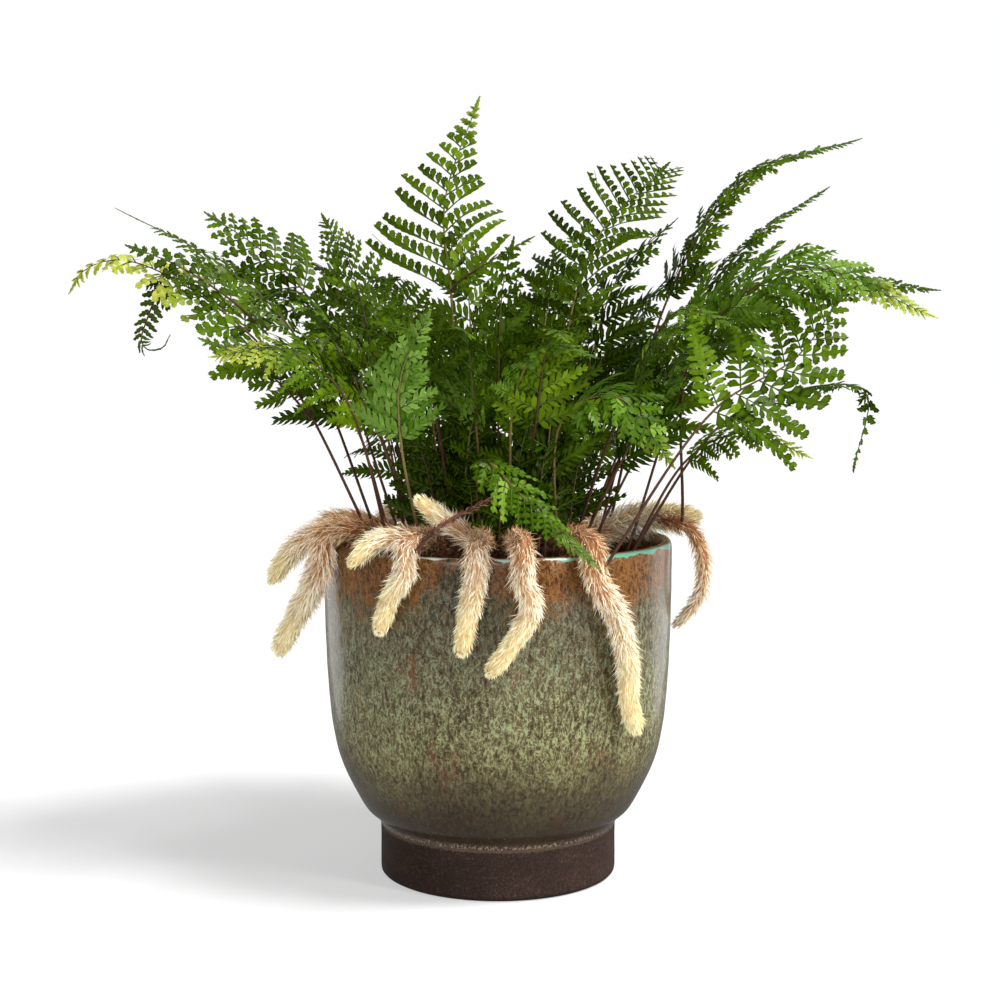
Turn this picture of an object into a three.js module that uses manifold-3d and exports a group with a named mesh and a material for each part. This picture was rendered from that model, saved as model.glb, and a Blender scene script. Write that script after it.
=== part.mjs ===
// A white rabbit's foot fern in its glazed pot, in millimetres, +Z up.
// The origin is the centre of the pot's flat base, and -Y is the side that faces the viewer.
// Furry rhizomes creep over the potting mix and the rim, and the fronds stand on them.
import * as THREE from "three";
import { mergeVertices } from "three/addons/utils/BufferGeometryUtils.js";
import Module from "manifold-3d";

const wasm = await Module();
wasm.setup();

// Driving dimensions of the pot.
const RIM_RADIUS = 85;
const POT_HEIGHT = 165;
const WALL = 5.5;
const FLOOR = 9;
const FOOT_RADIUS = 58;
const FOOT_HEIGHT = 25;
const POT_SIDES = 32;

// Free space left between two pieces that touch.
const GAP = 0.3;

// Potting mix: its height at the wall and how much higher its middle stands.
const SOIL_EDGE = 149;
const SOIL_CROWN = 8;
const SOIL_LUMP = 1.4;

// Rhizomes, with their coat of scales.
const RHIZOME_SIDES = 6;
const RHIZOME_STEP = 11;

// Fronds: the stipe's half width and its steps, and the leaf's half thickness.
const STIPE_HALF = 0.95;
const STIPE_STEPS = 3;
const LEAF_HALF = 0.34;
const LEAFLET_SIZES = [1, 0.75, 0.55];

const COLOURS = {
  glaze: { color: 0x5d6148, roughness: 0.25, metalness: 0 },
  mix: { color: 0x2c2018, roughness: 1, metalness: 0 },
  fur: { color: 0xcfb48c, roughness: 0.95, metalness: 0 },
  leaf: { color: 0x3f6b22, roughness: 0.45, metalness: 0 },
  young: { color: 0x9bb83c, roughness: 0.45, metalness: 0 },
  twig: { color: 0x5b3a2a, roughness: 0.8, metalness: 0 },
};

// The solid of a closed geometry, and the geometry of a solid.
function solidOf(geometry) {
  const bare = geometry.index ? geometry.toNonIndexed() : geometry.clone();
  bare.deleteAttribute("normal");
  bare.deleteAttribute("uv");
  const merged = mergeVertices(bare, 1e-3);
  return new wasm.Manifold(
    new wasm.Mesh({
      numProp: 3,
      vertProperties: new Float32Array(merged.attributes.position.array),
      triVerts: new Uint32Array(merged.index.array),
    }),
  );
}

function geometryOf(solid) {
  const mesh = solid.getMesh();
  const geometry = new THREE.BufferGeometry();
  geometry.setAttribute("position", new THREE.BufferAttribute(mesh.vertProperties, 3));
  geometry.setIndex(new THREE.BufferAttribute(mesh.triVerts, 1));
  geometry.computeVertexNormals();
  return geometry;
}

// The largest body of a solid, so that a cut leaves no loose scrap.
function largest(solid) {
  const bodies = solid.decompose();
  return bodies.reduce((best, body) => (body.volume() > best.volume() ? body : best));
}

// The pot's outside, from the base up: radius, height.
const OUTSIDE = [
  [FOOT_RADIUS - 1.6, 0],
  [FOOT_RADIUS, 1.8],
  [FOOT_RADIUS, FOOT_HEIGHT - 1],
  [FOOT_RADIUS + 2.4, FOOT_HEIGHT + 3],
  [65.5, 33.5],
  [71.5, 44],
  [77.4, 57],
  [81.2, 73],
  [83.4, 95],
  [RIM_RADIUS, 142],
  [RIM_RADIUS, POT_HEIGHT - 1.6],
  [RIM_RADIUS - 1.4, POT_HEIGHT],
];

// The pot's inside, from the rim down.
const INSIDE = [
  [RIM_RADIUS - WALL + 1, POT_HEIGHT],
  [RIM_RADIUS - WALL, POT_HEIGHT - 1.6],
  [83.4 - WALL, 95],
  [80.6 - WALL, 73],
  [68.5 - WALL, 40],
  [50, 19],
  [34, FLOOR],
  [0, FLOOR],
];

function lathe(profile, sides) {
  return new THREE.LatheGeometry(
    profile.map(([r, z]) => new THREE.Vector2(r, z)),
    sides,
  ).rotateX(Math.PI / 2);
}

// Radius of a profile at a height, by straight lines between its points.
function radiusAt(profile, height) {
  const points = [...profile].sort((a, b) => a[1] - b[1]);
  for (let i = 1; i < points.length; i++) {
    const [r0, z0] = points[i - 1];
    const [r1, z1] = points[i];
    if (height <= z1) return r0 + ((r1 - r0) * (height - z0)) / Math.max(z1 - z0, 1e-6);
  }
  return points[points.length - 1][0];
}

function pot() {
  return lathe([[0, 0], ...OUTSIDE, ...INSIDE], POT_SIDES);
}

// The potting mix fills the pot to a low lumpy mound.
function soilTop(radius, bearing) {
  const share = radius / (RIM_RADIUS - WALL);
  const lumps = Math.sin(5 * bearing + radius * 0.21) * Math.cos(3 * bearing - radius * 0.13);
  return SOIL_EDGE + SOIL_CROWN * (1 - share * share) + SOIL_LUMP * lumps * (1 - share);
}

function soil() {
  const clear = GAP + 0.4;
  const edge = radiusAt(INSIDE, SOIL_EDGE) - clear;
  const sides = INSIDE.filter(([r, z]) => r > 0 && z < SOIL_EDGE).map(([r, z]) => [r - clear, z + GAP]);
  const rings = [0.78, 0.5, 0.24].map((share) => [edge * share, SOIL_EDGE]);
  const geometry = lathe([[0, FLOOR + GAP], ...sides.reverse(), [edge, SOIL_EDGE], ...rings, [0, SOIL_EDGE]], 24);
  const place = geometry.attributes.position;
  for (let i = 0; i < place.count; i++) {
    if (place.getZ(i) < SOIL_EDGE - 0.01) continue;
    const radius = Math.hypot(place.getX(i), place.getY(i));
    const bearing = radius < 1e-3 ? 0 : Math.atan2(place.getY(i), place.getX(i));
    place.setZ(i, soilTop(radius, bearing));
  }
  return geometry;
}

// A point from a bearing in degrees (0 is +X, -90 faces the viewer), a radius and a height.
function polar([bearing, radius, height]) {
  const angle = THREE.MathUtils.degToRad(bearing);
  return new THREE.Vector3(radius * Math.cos(angle), radius * Math.sin(angle), height);
}

function curveThrough(points) {
  const curve = new THREE.CatmullRomCurve3(points);
  curve.arcLengthDivisions = 120;
  return curve;
}

// Side and normal of a curve's frame, turned so that the normal looks as far as it can towards facing.
function frameAt(curve, share, facing) {
  const at = Math.min(Math.max(share, 0), 1);
  const origin = curve.getPointAt(at);
  const along = curve.getTangentAt(at);
  const side = along.clone().cross(facing).normalize();
  const normal = side.clone().cross(along);
  return { origin, along, side, normal };
}

// The points of a branch, bearing, radius and height, with room for its thickness above the rim.
function branchPath({ radius, root, rim, hang, free }) {
  if (free) return [root, ...free];
  const clear = 1.14 * radius + 0.5;
  return [
    root,
    [rim, RIM_RADIUS - 18, POT_HEIGHT + clear * 0.7],
    [rim, RIM_RADIUS - 4, POT_HEIGHT + clear],
    [rim, RIM_RADIUS - 1 + clear * 0.8, POT_HEIGHT - 1 + clear * 0.75],
    [rim, RIM_RADIUS + clear, POT_HEIGHT - 8],
    ...hang.map(([bearing, height, off]) => [bearing, radiusAt(OUTSIDE, height) + clear + off, height]),
  ];
}

// A blunt round stem along a curve: thick at its root, and rough where scales stand out.
function rhizomeBranch(branch, grow = 0) {
  const curve = curveThrough(branchPath(branch).map(polar));
  const length = curve.getLength();
  const steps = Math.ceil(length / RHIZOME_STEP);
  const stem = new THREE.CylinderGeometry(1, 1, 1, RHIZOME_SIDES, steps);
  const facing = polar([branch.root[0] + 90, 1, 0]);
  const place = stem.attributes.position;
  for (let i = 0; i < place.count; i++) {
    const share = THREE.MathUtils.clamp(place.getY(i) + 0.5, 0, 1);
    const step = Math.round(share * steps);
    const turn = Math.atan2(place.getZ(i), place.getX(i));
    const flat = Math.hypot(place.getX(i), place.getZ(i));
    const rough = 1 + 0.055 * Math.sin(3 * turn + 2.3 * step);
    const end = share > 0.999 ? 0.52 : 1;
    const radius = branch.radius * (1.06 - 0.22 * share) * rough * end + grow;
    const frame = frameAt(curve, share, facing);
    const point = frame.origin
      .addScaledVector(frame.side, Math.cos(turn) * flat * radius)
      .addScaledVector(frame.normal, Math.sin(turn) * flat * radius)
      .addScaledVector(frame.along, share > 0.999 ? grow : share < 0.001 ? -grow : 0);
    place.setXYZ(i, point.x, point.y, point.z);
  }
  return solidOf(stem);
}

// A forked rhizome is one piece: its branches are joined.
function rhizome(branches, grow = 0) {
  return branches
    .map((branch) => rhizomeBranch(branch, grow))
    .reduce((joined, branch) => joined.add(branch));
}

// Each rhizome's branches. A branch runs from its root (bearing, radius, height) over the rim at a
// bearing, then down the wall: bearing, height, and how far it stands off. A free branch leaves the rim.
const RHIZOMES = {
  rhizome_left: [
    { radius: 5.8, root: [200, 48, 155], rim: 206, hang: [[202, 142, 4], [197, 128, 10], [191, 112, 16]] },
    { radius: 5.2, root: [200, 60, 163], free: [[200, 79, 173], [197, 95, 167], [193, 104, 157], [190, 110, 147]] },
  ],
  rhizome_left_back: [
    { radius: 5.4, root: [162, 40, 155], rim: 166, hang: [[169, 146, 0.5], [173, 132, 3]] },
  ],
  rhizome_front_left: [
    { radius: 5.6, root: [-112, 44, 155], rim: -117, hang: [[-121, 148, 0.5], [-125, 131, 1]] },
    { radius: 4.8, root: [-117, 74, 171], free: [[-123, 84, 173], [-128, 93, 170], [-131, 100, 162]] },
  ],
  rhizome_front_mid: [
    { radius: 5.8, root: [-92, 46, 155], rim: -96, hang: [[-98, 142, 0.5], [-100, 124, 0.5]] },
    { radius: 4.6, root: [-95, 70, 168], free: [[-102, 77, 176], [-110, 79, 183], [-116, 81, 190]] },
  ],
  rhizome_front_centre: [
    { radius: 5.6, root: [-72, 44, 155], rim: -83, hang: [[-81, 144, 1.5], [-86, 128, 1], [-92, 115, 0.5]] },
  ],
  rhizome_front_right: [
    { radius: 6, root: [-50, 42, 155], rim: -62, hang: [[-55, 138, 1], [-50, 114, 0.5], [-49, 97, 0.5], [-45, 83, 0.5]] },
  ],
  rhizome_right: [
    { radius: 5.4, root: [32, 44, 155], free: [[24, 64, 169], [16, 80, 173], [9, 90, 174], [5, 98, 174.5]] },
    { radius: 3.4, root: [14, 80, 172], free: [[4, 88, 171.5], [0, 96, 167], [0, 101, 151], [1, 99, 135], [6, 89, 120]] },
  ],
  rhizome_back_right: [
    { radius: 5.6, root: [54, 42, 155], rim: 57, hang: [[61, 140, 0.5], [66, 121, 0.5]] },
  ],
  rhizome_back_mid: [
    { radius: 5.8, root: [86, 44, 155], rim: 93, hang: [[96, 136, 1], [93, 113, 0.5], [97, 98, 0.5]] },
    { radius: 4.8, root: [94, 70, 169], free: [[101, 81, 174], [106, 93, 171], [110, 102, 160], [111, 106, 148]] },
  ],
  rhizome_back_left: [
    { radius: 5.4, root: [126, 42, 155], rim: 131, hang: [[130, 146, 1], [125, 130, 0.5]] },
  ],
};

// Upper faces look back towards the middle of the plant and up, unless a frond is turned to the viewer.
const VIEWER = [0, -1, 0.12];

// Fronds seen in front: the root, the foot of the leaf, its middle and its tip, the leaf's greatest half
// width, the pairs of leaflets, and the way its upper face looks.
const FRONDS = {
  frond_tall: { path: [[-15, -22, 151], [-22, -26, 283], [-25, -24, 325], [-9, -13, 375]], half: 43, pairs: 8, facing: VIEWER },
  frond_twin: { path: [[29, -10, 151], [33, -8, 262], [49, -4, 312], [82, 2, 346]], half: 42, pairs: 8, facing: [-0.35, -1, 0.1] },
  frond_far_arch: { path: [[52, 24, 151], [86, 32, 284], [124, 40, 342], [184, 52, 363]], half: 26, pairs: 7, facing: [-0.75, -0.15, 1] },
  frond_near_arch: { path: [[40, 44, 151], [96, 54, 268], [131, 66, 312], [174, 84, 341]], half: 24, pairs: 6, facing: [-0.75, -0.15, 1] },
  frond_gold_right: { path: [[90.5, 3.2, 170.5], [94, -10, 256], [141, -30, 295], [201, -46, 272]], half: 38, pairs: 7, facing: [-0.35, -0.35, 1], young: true },
  frond_dark_right: { path: [[62, 12, 151], [108, 38, 262], [161, 36, 289], [219, 24, 286]], half: 30, pairs: 6, facing: [-0.3, -0.3, 1] },
  frond_fan_right: { path: [[44, -84.5, 156], [98, -68, 231], [136, -56, 254], [160, -46, 285]], half: 44, pairs: 7, facing: [-0.1, -1, 0.5] },
  frond_hook_right: { path: [[58, -24, 151], [114, -12, 226], [177, -8, 237], [172, -9, 199]], half: 20, pairs: 6, facing: [0.15, 0.1, 1] },
  frond_lime_right: { path: [[58, -32, 151], [90, -36, 207], [115, -46, 219], [143, -54, 208]], half: 20, pairs: 6, facing: [0, -0.5, 1], young: true },
  frond_gold_left: { path: [[-56, -30, 160], [-103, -32, 250], [-154, -27, 288], [-199, -22, 283]], half: 34, pairs: 7, facing: [0.2, -0.4, 1], young: true },
  frond_spear_left: { path: [[-53, -4, 151], [-101, 8, 266], [-139, 16, 300], [-189, 26, 326]], half: 26, pairs: 6, facing: [0.5, -0.45, 1] },
  frond_comb_left: { path: [[-45, 22, 151], [-92, 28, 278], [-117, 28, 305], [-145, 26, 324]], half: 34, pairs: 6, facing: [0.2, -0.9, 0.5] },
  frond_lime_left: { path: [[-47, -44, 151], [-72, -50, 238], [-96, -58, 257], [-129, -64, 254]], half: 28, pairs: 6, facing: [0.1, -0.7, 1], young: true },
  frond_upright_left: { path: [[-34, 6, 151], [-60, 10, 250], [-72, 12, 296], [-86, 14, 322]], half: 34, pairs: 7, facing: [0.3, -1, 0.2] },
  frond_bright_centre: { path: [[-32, -52, 151], [-44, -66, 218], [-43, -74, 246], [-30, -82, 274]], half: 24, pairs: 6, facing: [0, -1, 0.35] },
  frond_drape_centre: { path: [[-6, -44, 151], [-8, -74, 208], [12, -102, 193], [42, -120, 166]], half: 25, pairs: 6, facing: [-0.3, 0.3, 1] },
  frond_bow_right: { path: [[28, -44, 151], [30, -50, 226], [54, -64, 236], [79, -70, 205]], half: 25, pairs: 6, facing: [-0.5, -0.5, 1], young: true },
  frond_spring_centre: { path: [[7, -36, 151], [8, -62, 238], [21, -80, 259], [43, -96, 254]], half: 24, pairs: 6, facing: [-0.3, 0.1, 1] },
};

// The fronds that fill the crown: bearing and radius of the root, bearing, reach and height of the tip,
// the share of the rise at which the leaf starts, and the leaf's half width.
const CROWN = [
  [112, 26, 108, 66, 324, 0.4, 38],
  [62, 28, 52, 78, 320, 0.4, 38],
  [30, 42, 24, 124, 300, 0.45, 36],
  [148, 40, 152, 120, 304, 0.45, 36],
  [82, 52, 80, 148, 268, 0.45, 34],
  [116, 54, 121, 150, 262, 0.45, 34],
  [58, 60, 46, 158, 258, 0.45, 34],
  [150, 60, 156, 158, 256, 0.55, 33],
  [98, 66, 92, 166, 206, 0.5, 30],
  [64, 66, 60, 164, 204, 0.5, 30],
  [128, 66, 116, 156, 206, 0.5, 30],
  [-141, 31, -136, 66, 272, 0.42, 30],
  [-58, 30, -50, 76, 276, 0.32, 32],
  [-92, 12, -80, 42, 306, 0.34, 32],
  [-12, 46, -16, 104, 268, 0.36, 33],
  [-166, 44, -164, 98, 268, 0.52, 30],
  [10, 30, 8, 88, 318, 0.42, 36],
];

// The path of a crown frond rises steeply from its root, then arches outwards and droops.
function crownFrond([rootBearing, rootRadius, tipBearing, reach, height, start, half], i) {
  const rise = height - SOIL_EDGE;
  const droop = Math.max(0, 1 - rise / 160);
  const point = (out, up) => [
    rootBearing + (tipBearing - rootBearing) * out,
    rootRadius + (reach - rootRadius) * out,
    SOIL_EDGE + 2 + rise * up,
  ];
  const shares = [[0, 0], [0.18 + 0.2 * droop, start + 0.3 * droop], [0.52, 0.84 + 0.34 * droop], [1, 1]];
  const away = polar([tipBearing + 70 * Math.sin(2.4 * i), 1, 0]);
  return {
    path: shares.map(([out, up]) => polar(point(out, up)).toArray()),
    half,
    pairs: height > 290 ? 6 : 5,
    facing: [-0.5 * away.x, -0.5 * away.y, 1],
  };
}

// The rib's stations and the leaflets of a frond, worked out in the flat: across, along.
function layOut(frond) {
  const points = frond.path.map((point) => new THREE.Vector3(...point));
  const curve = curveThrough(points);
  const length = curve.getLength();
  const foot = points[0].distanceTo(points[1]);
  const leaf = length - foot;
  const height = (pair) => foot + leaf * 0.97 * (1 - (1 - pair / frond.pairs) ** 1.35);
  const leaflets = [];
  for (let i = 0; i < frond.pairs; i++) {
    const share = i / frond.pairs;
    const at = height(i);
    const spacing = height(i + 1) - at;
    const reach = frond.half * (1.12 - share) ** 1.05;
    const angle = THREE.MathUtils.degToRad(66 - 22 * share);
    const breadth = Math.min(0.47 * spacing * Math.sin(angle), 0.36 * reach);
    leaflets.push({ at, spacing, reach, angle, breadth, teeth: i < 1 ? 2 : i < frond.pairs - 2 ? 1 : 0 });
  }
  return { curve, length, foot, leaflets, facing: new THREE.Vector3(...frond.facing).normalize() };
}

// A point of the flat leaf, put in its place on the bent one. The leaf's sides hang a little.
function placeOn(plan, half) {
  return (across, along, lift) => {
    const frame = frameAt(plan.curve, along / plan.length, plan.facing);
    const over = Math.max(0, along - plan.length);
    const hang = (0.2 * across * across) / half;
    return frame.origin
      .addScaledVector(frame.along, over)
      .addScaledVector(frame.side, across)
      .addScaledVector(frame.normal, lift - hang);
  };
}

// A closed plate over flat triangles, with the same triangles on both faces and walls at its edges.
function plate(points, triangles, place) {
  const raise = (sign) => points.map(([x, y, half]) => place(x, y, sign * half));
  const vertices = [...raise(1), ...raise(-1)];
  const under = points.length;
  const edges = new Set();
  for (const [a, b, c] of triangles) {
    for (const edge of [[a, b], [b, c], [c, a]]) edges.add(edge.join());
  }
  const faces = triangles.flatMap(([a, b, c]) => [[a, b, c], [c + under, b + under, a + under]]);
  for (const edge of edges) {
    const [a, b] = edge.split(",").map(Number);
    if (edges.has([b, a].join())) continue;
    faces.push([a + under, b + under, b], [a + under, b, a]);
  }
  const geometry = new THREE.BufferGeometry().setFromPoints(vertices);
  geometry.setIndex(faces.flat());
  return geometry;
}

// Half width of the rib, from the stipe's root to the leaf's tip, and its half thickness.
function ribHalf(plan, along) {
  const share = along / plan.length;
  return STIPE_HALF * (1.05 - 0.6 * share * share);
}

// Stations of the rib: heights on its left and right edge, and the leaflet pair that grows above each.
function ribStations(plan) {
  const stations = [];
  for (let i = 0; i < STIPE_STEPS; i++) {
    const along = (plan.foot * i) / STIPE_STEPS;
    stations.push({ left: along, right: along, pair: -1 });
  }
  plan.leaflets.forEach((leaflet, pair) => {
    const neck = Math.min(1.5, leaflet.spacing * 0.16);
    const stagger = leaflet.spacing * 0.12;
    const low = leaflet.at - neck;
    const high = leaflet.at + neck;
    stations.push({ left: low + stagger, right: low - stagger, pair });
    stations.push({ left: high + stagger, right: high - stagger, pair: -1 });
  });
  return stations;
}

// Adds one leaflet: pairs of points from the rib out, notched between its teeth, then its tip.
function addLeaflet(points, triangles, leaflet, side, low, high) {
  const [x, y] = [side * ribHalfAt(points, low), (points[low][1] + points[high][1]) / 2];
  const { angle, reach, breadth, teeth } = leaflet;
  const out = (along, across) => {
    const forward = along * Math.cos(angle) + (0.1 * along * along) / reach;
    return [
      x + side * (along * Math.sin(angle) - across * Math.cos(angle)),
      y + forward + across * Math.sin(angle),
      LEAF_HALF,
    ];
  };
  const widths = [];
  for (let i = 0; i < teeth; i++) {
    const start = (i + 0.6) / (teeth + 0.75);
    const width = breadth * (1 - 0.3 * i);
    widths.push([reach * start, width], [reach * (start + 0.14), width * 0.5]);
  }
  if (!teeth) widths.push([reach * 0.4, breadth * 0.75]);
  let [lower, upper] = [low, high];
  const face = (a, b, c) => triangles.push(side > 0 ? [a, b, c] : [c, b, a]);
  for (const [along, width] of widths) {
    points.push(out(along, -width), out(along, width));
    const [nextLower, nextUpper] = [points.length - 2, points.length - 1];
    face(lower, nextLower, nextUpper);
    face(lower, nextUpper, upper);
    [lower, upper] = [nextLower, nextUpper];
  }
  points.push(out(reach, 0));
  face(lower, points.length - 1, upper);
}

function ribHalfAt(points, index) {
  return Math.abs(points[index][0]);
}

// The flat pattern of a frond, with each leaflet at the size that size() gives, and its rib if wanted.
function pattern(plan, size, withRib = true, sink = 0) {
  const points = [];
  const triangles = [];
  const stations = ribStations(plan);
  const rim = stations.map(({ left, right }, i) => {
    const push = (x, y) => points.push([x, y, Math.max(Math.abs(x) * 0.9, LEAF_HALF)]) - 1;
    const drop = i === 0 ? sink : 0;
    return [push(-ribHalf(plan, left), left - drop), push(ribHalf(plan, right), right - drop)];
  });
  if (withRib) {
    for (let i = 1; i < rim.length; i++) {
      const [[left, right], [nextLeft, nextRight]] = [rim[i - 1], rim[i]];
      triangles.push([left, right, nextRight], [left, nextRight, nextLeft]);
    }
    const [left, right] = rim[rim.length - 1];
    points.push([0, plan.length, LEAF_HALF]);
    triangles.push([left, right, points.length - 1]);
  }
  stations.forEach(({ pair }, i) => {
    if (pair < 0) return;
    for (const [hand, side] of [[0, -1], [1, 1]]) {
      const scale = size(pair, hand);
      if (!scale) continue;
      const { reach, breadth, ...rest } = plan.leaflets[pair];
      const leaflet = { ...rest, reach: reach * scale, breadth: breadth * scale };
      addLeaflet(points, triangles, leaflet, side, rim[i][hand], rim[i + 1][hand]);
    }
  });
  const used = [...new Set(triangles.flat())];
  const order = new Map(used.map((index, i) => [index, i]));
  return {
    points: used.map((index) => points[index]),
    triangles: triangles.map((triangle) => triangle.map((index) => order.get(index))),
  };
}

// A frond's solid from its pattern, thicker and wider by grow on each side.
function frondSolid(frond, plan, size, withRib = true, grow = 0) {
  const { points, triangles } = pattern(plan, size, withRib, grow);
  const place = placeOn(plan, frond.half);
  const grown = points.map(([x, y, half]) => {
    const onRib = grow > 0 && withRib ? Math.sign(x) * grow : 0;
    return [x + onRib, y, half + grow];
  });
  return solidOf(plate(grown, triangles, place));
}

const NONE = () => 0;
const ALL = () => 1;

function boxesMeet(a, b) {
  const [boxA, boxB] = [a.boundingBox(), b.boundingBox()];
  return [0, 1, 2].every((i) => boxA.min[i] < boxB.max[i] && boxB.min[i] < boxA.max[i]);
}

// Two solids share space.
function meets(a, b) {
  return boxesMeet(a, b) && a.intersect(b).volume() > 1e-4;
}

// Builds every frond. A leaflet that would touch a neighbour's leaf, stipe or rhizome stays smaller.
function growFronds(fronds, obstacles) {
  const plans = fronds.map((frond) => layOut(frond));
  const ribs = fronds.map((frond, i) => frondSolid(frond, plans[i], NONE, true, GAP));
  const leaves = [];
  return fronds.map((frond, i) => {
    const others = [...obstacles, ...ribs.filter((_, j) => j !== i), ...leaves];
    const near = others.filter((other) => boxesMeet(frondSolid(frond, plans[i], ALL), other));
    const sizes = plans[i].leaflets.map((_, pair) =>
      [0, 1].map((hand) => {
        const fits = (scale) => {
          const only = (p, h) => (p === pair && h === hand ? scale : 0);
          const leaflet = frondSolid(frond, plans[i], only, false, GAP);
          return !near.some((other) => meets(leaflet, other));
        };
        return LEAFLET_SIZES.find(fits) ?? 0;
      }),
    );
    leaves.push(frondSolid(frond, plans[i], (pair, hand) => sizes[pair][hand]));
    return { solid: leaves[leaves.length - 1], hole: ribs[i] };
  });
}

// The dry scaly stalk that leans over the front rhizomes: its points, foot first.
const DRY_STALK = [[-37, -82, 167], [-28, -90, 178], [-15, -90, 186], [-2, -86, 192]];

function dryStalk(grow = 0) {
  const curve = curveThrough(DRY_STALK.map((point) => new THREE.Vector3(...point)));
  const stem = new THREE.CylinderGeometry(0.7, 1.3, 1, 5, 6);
  const place = stem.attributes.position;
  for (let i = 0; i < place.count; i++) {
    const share = THREE.MathUtils.clamp(place.getY(i) + 0.5, 0, 1);
    const flat = Math.hypot(place.getX(i), place.getZ(i));
    const size = flat > 0 ? 1 + (0.3 * (Math.round(share * 6) % 2) + grow) / flat : 1;
    const frame = frameAt(curve, share, new THREE.Vector3(0, 0, 1));
    const point = frame.origin
      .addScaledVector(frame.side, place.getX(i) * size)
      .addScaledVector(frame.normal, place.getZ(i) * size);
    place.setXYZ(i, point.x, point.y, point.z);
  }
  return solidOf(stem);
}

const group = new THREE.Group();

function add(name, geometry, look) {
  const mesh = new THREE.Mesh(geometry, new THREE.MeshStandardMaterial(COLOURS[look]));
  mesh.name = name;
  group.add(mesh);
}

const potSolid = solidOf(pot());
const rhizomes = Object.entries(RHIZOMES).map(([name, branches]) => ({
  name,
  solid: rhizome(branches),
  grown: rhizome(branches, GAP),
}));
const stalkHole = dryStalk(GAP);

const crown = CROWN.map((row, i) => [`frond_crown_${String(i + 1).padStart(2, "0")}`, crownFrond(row, i)]);
const named = [...Object.entries(FRONDS), ...crown];
const grown = growFronds(
  named.map(([, frond]) => frond),
  [potSolid, stalkHole, ...rhizomes.map((piece) => piece.grown)],
);
const holes = [...grown.map(({ hole }) => hole), stalkHole];

add("pot", pot(), "glaze");
let mix = solidOf(soil());
for (const piece of rhizomes) mix = mix.subtract(piece.grown);
for (const hole of holes) if (meets(mix, hole)) mix = mix.subtract(hole);
add("potting_mix", geometryOf(largest(mix)), "mix");
for (const { name, solid } of rhizomes) {
  const holed = holes.reduce((left, hole) => (meets(left, hole) ? left.subtract(hole) : left), solid);
  add(name, geometryOf(largest(holed)), "fur");
}
add("dry_stalk", geometryOf(dryStalk()), "twig");
named.forEach(([name, frond], i) => add(name, geometryOf(grown[i].solid), frond.young ? "young" : "leaf"));

export default group;
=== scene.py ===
# A potted white rabbit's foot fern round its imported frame. Tables and shape code are in millimetres, and
# MM turns them into metres where a mesh is made. +Z is up, the origin is the centre of the pot's base, and
# -Y faces the viewer.
import math

import bpy
import numpy as np
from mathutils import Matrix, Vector


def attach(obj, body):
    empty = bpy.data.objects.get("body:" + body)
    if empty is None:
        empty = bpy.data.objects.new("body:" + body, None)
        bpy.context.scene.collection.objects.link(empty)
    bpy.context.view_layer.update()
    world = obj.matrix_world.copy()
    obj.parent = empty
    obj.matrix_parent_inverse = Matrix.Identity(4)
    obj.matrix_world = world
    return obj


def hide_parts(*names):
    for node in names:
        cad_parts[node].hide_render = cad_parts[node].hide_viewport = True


MM = 0.001

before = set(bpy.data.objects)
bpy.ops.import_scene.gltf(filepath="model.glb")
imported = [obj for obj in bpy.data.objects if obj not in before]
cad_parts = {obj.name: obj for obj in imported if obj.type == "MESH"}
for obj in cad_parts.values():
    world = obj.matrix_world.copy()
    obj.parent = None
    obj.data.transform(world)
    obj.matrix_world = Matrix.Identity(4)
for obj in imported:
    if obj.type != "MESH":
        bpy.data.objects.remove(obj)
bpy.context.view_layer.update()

# Seeds of the random numbers. Pieces of one kind count on from their seed.
SOIL_SEED = 20
STALK_SEED = 70
RHIZOME_SEED = 120
FROND_SEED = 220
SPRAY_SEED = 320

# Camera: its place in metres, the degrees that it looks down, and its lens and sensor.
CAMERA_PLACE = (0.001, -0.880, 0.265)
CAMERA_DIP = 5.3
LENS = 65
SENSOR = 36

# Sun: bearing and height in degrees, strength, and width in degrees. Softboxes: place and target in
# metres, width in metres, and power.
SUN = (-22, 59, 4.0, 18)
SOFTBOXES = {
    "side": ((1.3, -0.9, 0.55), (0, 0, 0.15), 0.35, 15),
    "right_back": ((0.95, 0.95, 0.2), (0, 0, 0.10), 1.0, 3),
    "left_back": ((-0.95, 0.95, 0.2), (0, 0, 0.10), 1.0, 2.5),
    "front": ((-0.5, -1.8, 0.8), (0, 0, 0.15), 1.2, 12.5),
}

# Stage: its reach, the floor's height, the sides of its round, the room's even light and the floor's own.
STAGE_RADIUS = 8000.0
FLOOR_HEIGHT = -0.2
STAGE_SIDES = 96
ROOM_LIGHT = 0.22
FLOOR_GLOW = 0.45

# Pot: the radius and height of its rim, its wall, its sides, and the depth of its throwing grooves.
RIM_RADIUS = 85.0
POT_HEIGHT = 165.0
WALL = 5.5
POT_SIDES = 160
GROOVE_DEPTH = 0.12

# Potting mix: its height at the wall and how much its middle rises, its lumps and crumbs, its radius and
# sides, and its loose chips, with their sizes and the share of each size.
SOIL_EDGE = 149.0
SOIL_CROWN = 8.0
SOIL_LUMP = 1.4
SOIL_CRUMB = 0.6
SOIL_RADIUS = 78.6
SOIL_SIDES = 120
CHIPS = 1100
CHIP_SIZES = [1.1, 2.0, 3.4]
CHIP_SHARES = [0.55, 0.33, 0.12]

# Fronds: the stipe's radius at its root, at the leaf's foot and at its tip, half a leaf's thickness, the
# step between lobes, the step between feathery ones, and the reach under which a leaflet has none.
STIPE_RADIUS = 0.8
RIB_RADIUS = 0.55
RIB_TIP_RADIUS = 0.2
LEAF_HALF = 0.11
LOBE_STEP = 3.9
LANCE_STEP = 3.2
SIMPLE_REACH = 8.0

# The power by which leaflets crowd to the tip, how much a leaf's sides hang, and its tip blade's breadth.
CROWDING = 1.5
HANG = 0.2
TIP_BLADE = 3.6

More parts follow.
